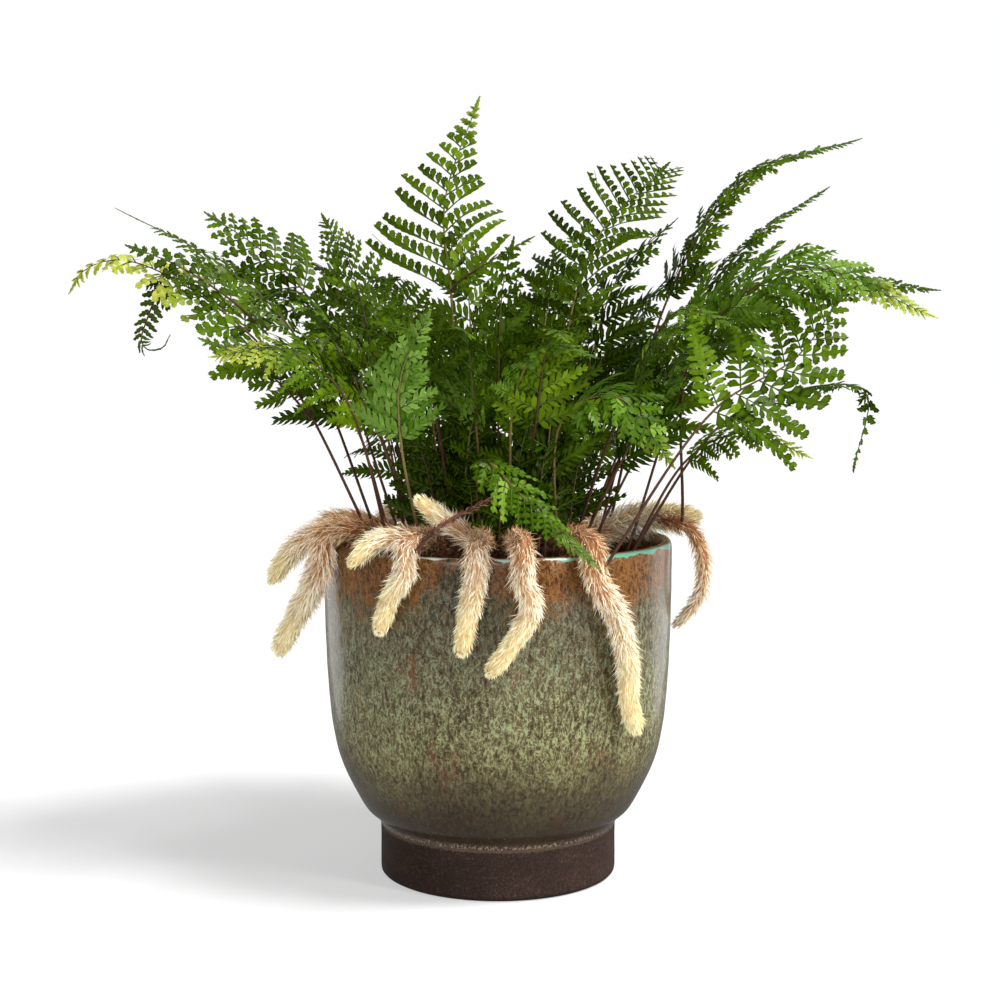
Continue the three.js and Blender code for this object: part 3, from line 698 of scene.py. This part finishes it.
def stalk_look():
    """A dead stalk with papery scales."""
    look = Look("dry_stalk", Roughness=0.8)
    grain = look.noise(900, 0.5, detail=4)
    level = look.add(look.value("tint"), look.sway(grain, 0.4))
    look.bump(grain, 0.6, 0.0004)
    return look.finish(look.ramp(level, {0.1: (58, 32, 24), 0.5: (104, 62, 44), 0.9: (160, 112, 80)}))


# ---- Pot and potting mix

def pot():
    belly = smooth_path([(radius, 0, height) for radius, height in BELLY], steps=5)
    profile = [*FOOT, *[(point[0], point[2]) for point in belly], *RIM, *INSIDE]
    radius, height = np.array(profile, float).T[..., None]
    turn = turns(POT_SIDES)
    on_wall = np.clip((height - 30) / 20, 0, 1) * np.clip((158 - height) / 8, 0, 1)
    ring = radius - GROOVE_DEPTH * on_wall * np.abs(np.sin(height * 1.15 + 2 * np.sin(turn)))
    shape = Shape()
    shape.add(circle(ring, turn, height), *tube_faces(len(radius), POT_SIDES))
    shape.looks[0][:GLAZE_EDGE * POT_SIDES] = 1
    shape.looks[1][0] = 1
    dress(shape.mesh("glazed_pot", [Glaze().paint(), clay_look()], sharp=38), "pot")


def soil_height(x, y):
    radius = np.hypot(x, y)
    bearing = np.arctan2(y, x)
    share = radius / (RIM_RADIUS - WALL)
    lumps = np.sin(5 * bearing + radius * 0.21) * np.cos(3 * bearing - radius * 0.13)
    crumbs = np.sin(0.9 * x + 1.3 * np.sin(0.5 * y)) * np.sin(0.8 * y + 1.1 * np.sin(0.6 * x))
    return SOIL_EDGE + SOIL_CROWN * (1 - share**2) + SOIL_LUMP * lumps * (1 - share) + SOIL_CRUMB * crumbs


def add_chips(shape, rng):
    """Bits of bark and crumbs: boxes with their corners knocked about, pressed into the surface."""
    corners = np.array([(x, y, z) for x in (-1, 1) for y in (-1, 1) for z in (-1, 1)], float)
    sides = [(0, 1, 3, 2), (4, 6, 7, 5), (0, 4, 5, 1), (2, 3, 7, 6), (0, 2, 6, 4), (1, 5, 7, 3)]
    radius = (RIM_RADIUS - WALL - 3) * np.sqrt(rng.random(CHIPS))
    turn = 2 * math.pi * rng.random(CHIPS)
    x, y = radius * np.cos(turn), radius * np.sin(turn)
    size = rng.uniform(0.5, 1.0, (CHIPS, 3)) * rng.choice(CHIP_SIZES, (CHIPS, 1), p=CHIP_SHARES)
    size[:, 2] *= 0.55
    box = corners * size[:, None] * rng.uniform(0.6, 1.1, (CHIPS, 8, 3))
    spin, tip = rng.uniform(0, 2 * math.pi, (CHIPS, 1)), rng.normal(0, 0.35, (CHIPS, 1))
    flat_x = box[..., 0] * np.cos(spin) - box[..., 1] * np.sin(spin)
    flat_y = box[..., 0] * np.sin(spin) + box[..., 1] * np.cos(spin)
    lift = box[..., 2] + flat_x * np.sin(tip)
    base = soil_height(x, y) + 0.3
    points = np.stack([x[:, None] + flat_x, y[:, None] + flat_y, base[:, None] + lift], axis=-1)
    shape.add(points, copies(sides, CHIPS, 8), tint=np.repeat(rng.random(CHIPS), 8))


def potting_mix():
    turn = turns(SOIL_SIDES)
    rings = [circle(radius, turn, height) for radius, height in SOIL_SIDE]
    for radius in SOIL_RADIUS * np.linspace(1, 0.01, 34):
        rings.append(circle(radius, turn, soil_height(radius * np.cos(turn), radius * np.sin(turn))))
    shape = Shape()
    shape.add(np.array(rings), *tube_faces(len(rings), SOIL_SIDES), tint=0.3)
    add_chips(shape, np.random.default_rng(SOIL_SEED))
    dress(shape.mesh("bark_mix", [soil_look()], sharp=30), "potting_mix")


# ---- Rhizomes

def wall_radius(height):
    """The pot's outer radius at a height."""
    profile = FOOT + BELLY
    return float(np.interp(height, [z for _, z in profile], [r for r, _ in profile]))


def branch_path(branch):
    """The points of a branch, with room for its thickness above the rim."""
    if "free" in branch:
        return [branch["root"], *branch["free"]]
    clear = 1.14 * branch["radius"] + 0.5
    rim = branch["rim"]
    over = [
        (rim, RIM_RADIUS - 18, POT_HEIGHT + clear * 0.7),
        (rim, RIM_RADIUS - 4, POT_HEIGHT + clear),
        (rim, RIM_RADIUS - 1 + clear * 0.8, POT_HEIGHT - 1 + clear * 0.75),
        (rim, RIM_RADIUS + clear, POT_HEIGHT - 8),
    ]
    down = [(bearing, wall_radius(height) + clear + off, height) for bearing, height, off in branch["hang"]]
    return [branch["root"], *over, *down]


def add_hairs(shape, roots, leave, arrive, lengths, radius, tone, tint):
    """Tapered three-sided hairs. Each leaves its root in one direction and ends in another."""
    count = len(roots)
    middle = roots + leave * (0.5 * lengths)[:, None]
    tip = middle + arrive * (0.5 * lengths)[:, None]
    across = unit(np.cross(leave, arrive + np.array([0.31, 0.17, 0.05])))
    other = np.cross(leave, across)
    ring = [radius[:, None] * (across * math.cos(turn) + other * math.sin(turn)) for turn in (0, 2.1, 4.2)]
    points = np.stack([*[roots + way for way in ring], *[middle + 0.8 * way for way in ring], tip], axis=1)
    walls = [(0, 1, 4, 3), (1, 2, 5, 4), (2, 0, 3, 5)]
    ends = [(3, 4, 6), (4, 5, 6), (5, 3, 6)]
    # fade runs from full painted shade at a hair's root to none at its tip.
    shape.add(points, copies(walls, count, 7), copies(ends, count, 7),
              tone=np.repeat(tone, 7), tint=np.repeat(tint, 7),
              fade=np.tile([0.0, 0.0, 0.0, 0.6, 0.6, 0.6, 1.0], count))


class Branch:
    """A branch of a rhizome: its stem, rounded at the tip, and its coat of hairs that point to the tip."""

    def __init__(self, branch):
        self.radius = branch["radius"]
        self.tones = branch.get("tone", (0.0, 1.0))
        self.loft = branch.get("loft", 1.0)
        path = [polar(*point) for point in branch_path(branch)]
        self.spine = Spine(path, polar(branch["root"][0] + 90, 1, 0))
        self.length = self.spine.length

    def past_tip(self, place):
        """1 along the stem, falling to 0 over the rounded tip."""
        return np.clip((self.length - place) / self.radius, 0, 1)

    def core(self, place):
        """The radius of the stem under the hairs."""
        full = self.radius * (1.06 - 0.03 * place / self.length)
        return CORE_SHARE * full * np.sqrt(1 - 0.94 * (1 - self.past_tip(place)) ** 2)

    def tone(self, place):
        start, end = self.tones
        return start + (end - start) * np.clip(1.25 * place / self.length - 0.12, 0, 1)

    def add_stem(self, shape):
        sides = 10
        ends = self.length - np.array([5, 4, 3, 2, 1.2, 0.5, 0.1])
        place = np.concatenate([np.arange(0, self.length - 6, 2.5), ends])
        rough = self.core(place)[:, None] * (1 + 0.05 * np.sin(3 * turns(sides) + 0.7 * place[:, None]))
        tone = np.repeat(self.tone(place), sides)
        # The stem under the hairs takes nearly the full painted shade.
        self.spine.add_tube(shape, place, rough, sides, tone=tone, tint=0.3, fade=0.1)

    def add_fur(self, shape, rng):
        count = int(2 * math.pi * CORE_SHARE * self.radius * self.length * HAIRS_PER_AREA)
        place = self.length * rng.random(count) ** 0.92
        buried = (self.spine.at(place)[0][:, 2] < HIDDEN_BELOW) & (place < 0.5 * self.length)
        place = place[~buried]
        count, share = len(place), place / self.length
        origin, along, out = self.spine.scatter(place, rng)
        past = self.past_tip(place)[:, None]
        out = unit(out * past**0.5 + along * (1 - past))
        stand = self.loft * np.where(share > 0.8, HAIR_TIP_STAND, HAIR_ROOT_STAND)[:, None]
        stand = stand + rng.normal(0, 0.18, (count, 1))
        stray = rng.normal(0, HAIR_STRAY, (count, 3))
        leave = unit(along + out * stand + stray)
        arrive = unit(along + out * stand * 0.45 + stray * 1.8 + np.array([0, 0, 0.5 - 0.6 * self.loft]))
        shorter = np.clip((share - 0.55) / 0.35, 0, 1)
        lengths = self.loft * (HAIR_ROOT_LENGTH + (HAIR_TIP_LENGTH - HAIR_ROOT_LENGTH) * shorter)
        lengths *= 0.45 + 0.55 * past[:, 0]
        add_hairs(shape, origin + out * (self.core(place) * 0.96)[:, None], leave, arrive,
                  lengths * rng.uniform(0.55, 1.2, count), HAIR_RADIUS * rng.uniform(0.8, 1.9, count),
                  self.tone(place), rng.random(count))


def rhizomes():
    look = fur_look()
    for index, (name, branches) in enumerate(RHIZOMES.items()):
        rng = np.random.default_rng(RHIZOME_SEED + index)
        shape = Shape()
        for branch in branches:
            grown = Branch(branch)
            grown.add_stem(shape)
            grown.add_fur(shape, rng)
        dress(shape.mesh(f"rhizome_{name}_furred", [look], sharp=80), f"rhizome_{name}")


def dry_stalk():
    rng = np.random.default_rng(STALK_SEED)
    spine = Spine(DRY_STALK, (0, 0, 1))
    place = np.linspace(0, spine.length, 40)
    radius = np.interp(place, [0, spine.length], [1.1, 0.5]) * (1 + 0.16 * np.sin(1.9 * place))
    shape = Shape()
    spine.add_tube(shape, place, radius[:, None], sides=7, tint=0.4, tone=0.0, fade=1.0)
    count = STALK_SCALES
    origin, along, out = spine.scatter(spine.length * rng.random(count), rng)
    leave = unit(along + out * rng.uniform(0.3, 0.9, (count, 1)))
    arrive = unit(along + out * 0.5 + rng.normal(0, 0.3, (count, 3)))
    add_hairs(shape, origin + out * 0.6, leave, arrive, rng.uniform(1.4, 3.2, count),
              rng.uniform(0.2, 0.4, count), np.zeros(count), rng.random(count))
    dress(shape.mesh("scaly_stalk", [stalk_look()], sharp=50), "dry_stalk")


# ---- Fronds

class Lobe:
    """A lobe's points and triangles: its outline, a middle point above and one below."""

    def __init__(self, outline, breadth):
        self.breadth = breadth
        rim = len(outline)
        self.size = rim + 2
        self.flat = np.array([*outline, LOBE_MIDDLE, LOBE_MIDDLE])
        self.lift = np.array([0.0] * rim + [1.0, -0.7])
        self.edge = np.array([1.0] * rim + [0.0, 0.0])
        upper = [(i, (i + 1) % rim, rim) for i in range(rim)]
        under = [((i + 1) % rim, i, rim + 1) for i in range(rim)]
        self.faces = np.array(upper + under)


ROUND = Lobe(ROUND_LOBE, 1.14)
LANCE = Lobe(LANCE_LOBE, 0.98)

# How leaflets are cut: the lobe and the step between lobes, the blade's width above and below the rib and
# the share of the rib that it leaves bare, and for each side with lobes (1 above, -1 below) their size and
# their lean in degrees, at the rib and at the tip.
CUTS = {
    "comb": (ROUND, LOBE_STEP, (0.36, 0.16, 0.3), [(1, 0.90, (62, 44))]),
    "round": (ROUND, LOBE_STEP, (0.24, 0.24, 0.2), [(1, 0.80, (64, 42)), (-1, 0.60, (60, 40))]),
    "plume": (LANCE, LANCE_STEP, (0.28, 0.24, 0.12), [(1, 0.92, (56, 34)), (-1, 0.64, (48, 30))]),
}


class Leaflet:
    """One leaflet of a frond: it leaves the rib at a place, to one side, and curves a little forwards."""

    def __init__(self, shape, rng, start, side, angle, reach, breadth, look):
        self.shape, self.rng, self.start, self.side = shape, rng, start, side
        self.reach, self.breadth, self.look = reach, breadth, look
        self.sin, self.cos = math.sin(angle), math.cos(angle)
        self.roll = rng.normal(0.12, 0.24)
        self.droop = rng.normal(0.10, 0.12)
        self.sweep = rng.normal(0.06, 0.06)
        self.shade = rng.normal(0, 0.11)

    def flat(self, along, across, lift):
        """Points from the leaflet's own axes in the frond's flat pattern."""
        x = self.start[0] + self.side * (along * self.sin - across * self.cos)
        y = self.start[1] + along * self.cos + self.sweep * along**2 / self.reach + across * self.sin
        z = lift + self.roll * across - self.droop * along**2 / self.reach
        return np.stack([x, y, z], axis=-1)

    def values(self, along, edge, spread=0.0):
        most, start = self.look["gold"]
        out = self.look["far"] + 0.2 * np.clip(along / self.reach, 0, 1)
        gold = most * np.clip((out - start) / 0.25, 0, 1)
        return dict(shade=self.look["light"] + self.shade + spread, gold=gold, cool=self.look["cool"],
                    edge=edge, rise=1.0, straw=0.0)

    def add_rib(self):
        along = np.broadcast_to(np.array([[0], [0.3], [0.6], [0.9]]) * self.reach, (4, 4))
        radius = np.array([[0.38], [0.30], [0.20], [0.08]])
        turn = turns(4)
        points = self.flat(along, radius * np.cos(turn), radius * np.sin(turn) + 0.05)
        values = self.values(along.ravel(), 0.0)
        self.shape.add(points, *tube_faces(4, 4, flip=self.side < 0), look=1, **values)

    def add_lobes(self, lobe, count, hand, size, lean):
        """The lobes on one side, from the broad one next to the rib to small ones that merge at the tip."""
        order = np.arange(count)
        share = (order + 0.5) / (count + 0.4)
        angle = np.radians(lean[0] + (lean[1] - lean[0]) * share)
        tall = self.breadth * size * (1 - 0.78 * share**1.35) / np.sin(angle)
        tall *= self.rng.uniform(0.86, 1.06, count) * np.where(order == 0, 0.94, 1)
        wide = self.reach / (count + 0.4) * np.sin(angle) * lobe.breadth * self.rng.uniform(0.9, 1.1, count)
        wide *= np.where(order == 0, 1.2, 1.0)
        twist = self.rng.normal(0, 0.22, (count, 1))
        cup = self.rng.normal(-0.08, 0.12, (count, 1))
        run, width = (column * scale[:, None] for column, scale in zip(lobe.flat.T, (tall, wide)))
        sin, cos = np.sin(angle)[:, None], np.cos(angle)[:, None]
        along = (share * self.reach)[:, None] + run * cos - width * sin
        across = hand * (run * sin + width * cos)
        lift = LEAF_HALF * (0.25 + 1.8 * lobe.lift) + twist * width
        lift += cup * run**2 / np.maximum(tall[:, None], 1)
        tint = np.repeat(self.rng.normal(0, 0.09, count), lobe.size)
        faces = copies(lobe.faces, count, lobe.size)
        self.shape.add(self.flat(along, across, lift), faces if self.side * hand > 0 else faces[:, ::-1],
                       **self.values(along.ravel(), np.tile(lobe.edge, count), tint))

    def add_wing(self, count, upper, lower, bare):
        """The blade on both sides of the leaflet's rib, toothed below, that grows past the bare share."""
        share = np.linspace(0.04, 1.0, 2 * count + 1)
        valley = np.arange(len(share)) % 2 == 0
        swell = np.clip((share - bare) / 0.4, 0, 1) * np.sqrt((1 - share) * 2.2).clip(0, 1) * self.breadth
        top, under = (width * swell * np.where(valley, 0.62, 1.0) + 0.03 for width in (upper, lower))
        along = share * self.reach
        tooth = along + np.where(valley, 0, 0.25 * LOBE_STEP)
        zero = np.zeros_like(along)
        points = self.flat(np.stack([along, along, tooth, along], axis=1),
                           np.stack([top, zero, -under, zero], axis=1), LEAF_HALF * np.array([0, 1.6, 0, -1]))
        edge = np.tile([1.0, 0.0, 1.0, 0.0], len(along))
        self.shape.add(points, *tube_faces(len(along), 4, flip=self.side < 0),
                       **self.values(np.repeat(along, 4), edge))

    def cut(self, lobes):
        """The rib, the blade and the lobes. A short leaflet has a toothed blade and no lobes."""
        self.add_rib()
        if self.reach < SIMPLE_REACH:
            self.roll *= 0.3
            self.add_wing(3, 0.50, 0.46, -0.3)
            return
        if lobes == "comb":
            self.sweep *= 0.2
        lobe, step, blade, hands = CUTS[lobes]
        count = int(np.clip(round(self.reach / step), 2, 12))
        self.add_wing(count, *blade)
        for hand, size, lean in hands:
            self.add_lobes(lobe, count, hand, size, lean)


def add_stem(shape, spine, foot, straw):
    """The stipe and the rib that it becomes, as one tapering tube in the flat pattern."""
    sides = 8
    place = np.concatenate([np.linspace(0, foot, 14), np.linspace(foot, spine.length, 22)[1:]])
    radius = np.interp(place, [0, foot, spine.length], [STIPE_RADIUS, RIB_RADIUS, RIB_TIP_RADIUS])[:, None]
    across = radius * np.cos(turns(sides))
    points = np.stack([across, place[:, None] + 0 * across, radius * np.sin(turns(sides))], axis=-1)
    rise = np.clip(1.25 * np.repeat(place / spine.length, sides) - 0.2, 0, 1)
    shape.add(points, *tube_faces(len(place), sides, flip=True),
              look=1, shade=0.5, gold=0.0, cool=0.0, edge=0.0, rise=rise, straw=straw)


def add_pair(shape, rng, frond, at, spacing, look):
    """The two leaflets that leave the rib next to each other."""
    far = look["far"]
    base, (widest, closing), (skew, tip_skew) = frond["base"], frond["spread"], frond["skew"]
    angle = math.radians(widest - closing * far)
    breadth = spacing * math.sin(angle) * frond["full"]
    for side in (-1, 1):
        reach = 1.12 * frond["half"] * (1 - far) ** frond["taper"] * rng.uniform(0.84, 1.06)
        reach *= base + (1 - base) * min(1, 4 * far)
        start = (side * 0.3, at - side * 0.12 * spacing)
        turn = angle - side * math.radians(skew + (tip_skew - skew) * far)
        turn += rng.normal(0, 0.025 if frond["lobes"] == "comb" else 0.07)
        Leaflet(shape, rng, start, side, turn, reach + 1.5, breadth, look).cut(frond["lobes"])


def grow_frond(shape, rng, row):
    """Adds one frond: its stem, pairs of leaflets and toothed tip, made flat and then bent along its path."""
    frond = {**PLAIN_FROND, **row}
    spine = Spine(frond["path"], frond["facing"])
    foot = math.dist(frond["path"][0], frond["path"][1])
    leaf = spine.length - foot
    first = len(shape.points)
    add_stem(shape, spine, foot, frond["straw"])
    ahead = 1 - np.arange(frond["pairs"] + 1) / frond["pairs"]
    starts = foot + leaf * (1 - frond["tail"]) * (1 - ahead ** CROWDING)
    look = {key: frond[key] for key in ("light", "gold", "cool")}
    for at, spacing in zip(starts, np.diff(starts)):
        look["far"] = (at - foot) / leaf
        add_pair(shape, rng, frond, at, spacing, look)
    blade = TIP_BLADE * (1 - 2 * frond["tail"])
    tip = Leaflet(shape, rng, (0, starts[-4]), 1, 0.0, spine.length + 1.5 - starts[-4], blade, look)
    tip.roll = tip.droop = tip.sweep = 0.0
    tip.add_wing(8, 0.42, 0.42, 0.12)
    across, along, lift = np.concatenate(shape.points[first:]).T
    hang = HANG * across**2 / frond["half"]
    shape.points[first:] = [spine.bend(across, along, lift - hang)]


def inwards(bearing, share, front=0.0):
    """An upward direction that leans away from a bearing and towards the viewer."""
    x, y, _ = polar(bearing, -share, 0)
    return x, y - front, 1


def crown_frond(row, index):
    """A crown frond rises steeply from its root, then arches outwards and droops."""
    root_bearing, root_radius, tip_bearing, reach, height, start, half = row
    rise = height - SOIL_EDGE
    droop = max(0.0, 1 - rise / 160)

    def point(out, up):
        bearing = root_bearing + (tip_bearing - root_bearing) * out
        return polar(bearing, root_radius + (reach - root_radius) * out, SOIL_EDGE + 2 + rise * up)

    shares = [(0, 0), (0.18 + 0.2 * droop, start + 0.3 * droop), (0.52, 0.84 + 0.34 * droop), (1, 1)]
    return dict(path=[point(out, up) for out, up in shares], half=half, pairs=12 if height > 290 else 10,
                facing=inwards(tip_bearing + 70 * math.sin(2.4 * index), 0.5),
                light=0.34 + 0.12 * math.sin(3.1 * index), straw=0.6 + 0.4 * math.sin(1.7 * index),
                cool=0.3 * (index % 3))


def low_spray(index, rng):
    """A short frond low in the crown, kept dark as painted shade. Its sides are left more open, as there only
    stipes show.
    """
    share = (index + 0.5) / LOW_SPRAYS
    bearing = GOLDEN_ANGLE * index
    root_x, root_y, root_z = polar(bearing, 10 + 46 * math.sqrt(share), SOIL_EDGE + 2)
    root = (0.62 * root_x, root_y, root_z)
    rise = rng.uniform(46, 96) * (1.15 - 0.35 * share)
    lean = bearing + rng.normal(0, 40)
    out_x, out_y, _ = polar(lean, rng.uniform(20, 40), 0)
    path = [(root[0] + 0.6 * out_x * far, root[1] + out_y * far, root[2] + rise * up)
            for far, up in ((0, 0), (0.12, 0.34), (0.5, 0.82), (1.0, 0.98))]
    facing = inwards(lean + rng.normal(0, 70), 0.6)
    # The low light value paints the shade deep in the crown.
    return dict(path=path, half=rng.uniform(17, 25), pairs=8, facing=facing, light=0.24 * rng.random(),
                straw=rng.random(), cool=0.2 * (index % 4))


def high_spray(index, rng):
    """A longer frond that arches out of the crown's side. Those in front stay shorter."""
    bearing = 360 / HIGH_SPRAYS * (index + rng.uniform(-0.3, 0.3))
    flat_x, flat_y, _ = polar(bearing, rng.uniform(112, 148), 0)
    flat_y *= 0.72 if flat_y < 0 else 0.95
    top = rng.uniform(258, 296)
    path = [(flat_x * out, flat_y * out, height) for out, height in
            ((0.3, SOIL_EDGE + 2), (0.56, top - 46), (0.78, top - 4), (1.0, top - rng.uniform(-6, 16)))]
    facing = inwards(bearing + rng.normal(0, 40), 0.55, front=0.3)
    return dict(path=path, half=rng.uniform(24, 32), pairs=12, facing=facing,
                light=0.28 + 0.3 * rng.random(), straw=0.5 * rng.random(), cool=0.25 * (index % 3))


def sprig(index, _rng):
    return SPRIGS[index]


def fronds():
    stem = stem_look()
    looks = {slot: [leaf_look(slot), stem] for slot in ("leaf", "young_leaf")}
    named = {f"frond_{name}": frond for name, frond in FRONDS.items()}
    for index, row in enumerate(CROWN):
        named[f"frond_crown_{index + 1:02d}"] = crown_frond(row, index)
    for index, (name, frond) in enumerate(named.items()):
        slot = "young_leaf" if "gold" in frond else "leaf"
        shape = Shape()
        grow_frond(shape, np.random.default_rng(FROND_SEED + index), frond)
        dress(shape.mesh(f"{name}_leafy", looks[slot], sharp=50), name)
    sprays(looks["leaf"])


def sprays(looks):
    """The smaller fronds between the others, in four pieces."""
    parts = {
        "low_sprays_1": (low_spray, range(0, LOW_SPRAYS, 2)),
        "low_sprays_2": (low_spray, range(1, LOW_SPRAYS, 2)),
        "high_sprays": (high_spray, range(HIGH_SPRAYS)),
        "sprigs": (sprig, range(len(SPRIGS))),
    }
    for name, (rule, indices) in parts.items():
        shape = Shape()
        for index in indices:
            rng = np.random.default_rng(SPRAY_SEED + index)
            grow_frond(shape, rng, rule(index, rng))
        piece = shape.mesh(name, looks, sharp=50)
        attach(piece, "root")


# ---- Stage, light and camera

def stage():
    """A pale floor that takes the shadow, and a white backdrop round it that only the camera sees."""
    turn = turns(STAGE_SIDES)
    ground = Shape()
    ground.add(circle(STAGE_RADIUS, turn, FLOOR_HEIGHT), [list(range(STAGE_SIDES))])
    look = Look("studio_floor", Roughness=0.9, Emission_Color=linear(1), Emission_Strength=FLOOR_GLOW)
    colour = look.ramp(look.noise(3, detail=2), {0.3: 0.44, 0.7: 0.47})
    floor = ground.mesh("studio_floor", [look.finish(colour)])

    rings = 24
    rise = np.linspace(-math.pi / 2 + 0.01, math.pi / 2 - 0.01, rings)[:, None]
    dome = Shape()
    dome.add(circle(np.cos(rise), turn, np.sin(rise)) * STAGE_RADIUS, *tube_faces(rings, STAGE_SIDES))
    white = Look("backdrop", Roughness=1.0, Emission_Color=linear(1), Emission_Strength=1.0)
    backdrop = dome.mesh("backdrop", [white.finish(white.ramp(white.axis("Z"), {0.0: 0.0, 1.0: 0.0}))])
    floor.visible_glossy = False
    backdrop.visible_glossy = False
    backdrop.visible_diffuse = False
    backdrop.visible_shadow = False


def room():
    """The even light of the room, and plain colours."""
    world = bpy.data.worlds.new("studio")
    world.use_nodes = True
    inputs = world.node_tree.nodes["Background"].inputs
    inputs["Color"].default_value = linear(1)
    inputs["Strength"].default_value = ROOM_LIGHT
    bpy.context.scene.world = world
    bpy.context.scene.view_settings.view_transform = "Standard"


def sun(bearing, elevation, strength, width):
    """A soft light from far away."""
    data = bpy.data.lights.new("key", "SUN")
    data.energy = strength
    data.angle = math.radians(width)
    tilt = math.radians(elevation)
    way = Vector(polar(bearing, math.cos(tilt), math.sin(tilt)))
    put("key", data).rotation_euler = way.to_track_quat("Z", "Y").to_euler()


def softbox(name, place, target, size, power):
    data = bpy.data.lights.new(name, "AREA")
    data.shape = "DISK"
    data.size = size
    data.energy = power
    light = put(name, data)
    light.location = place
    light.rotation_euler = (Vector(target) - Vector(place)).to_track_quat("-Z", "Y").to_euler()
    light.visible_camera = False


def camera():
    data = bpy.data.cameras.new("camera")
    data.lens = LENS
    data.sensor_width = SENSOR
    data.clip_end = 100
    piece = put("camera", data)
    piece.location = CAMERA_PLACE
    piece.rotation_euler = (math.radians(90 - CAMERA_DIP), 0, 0)
    bpy.context.scene.camera = piece


camera()
stage()
room()
sun(*SUN)
for name, box in SOFTBOXES.items():
    softbox(name, *box)
pot()
potting_mix()
rhizomes()
dry_stalk()
fronds()
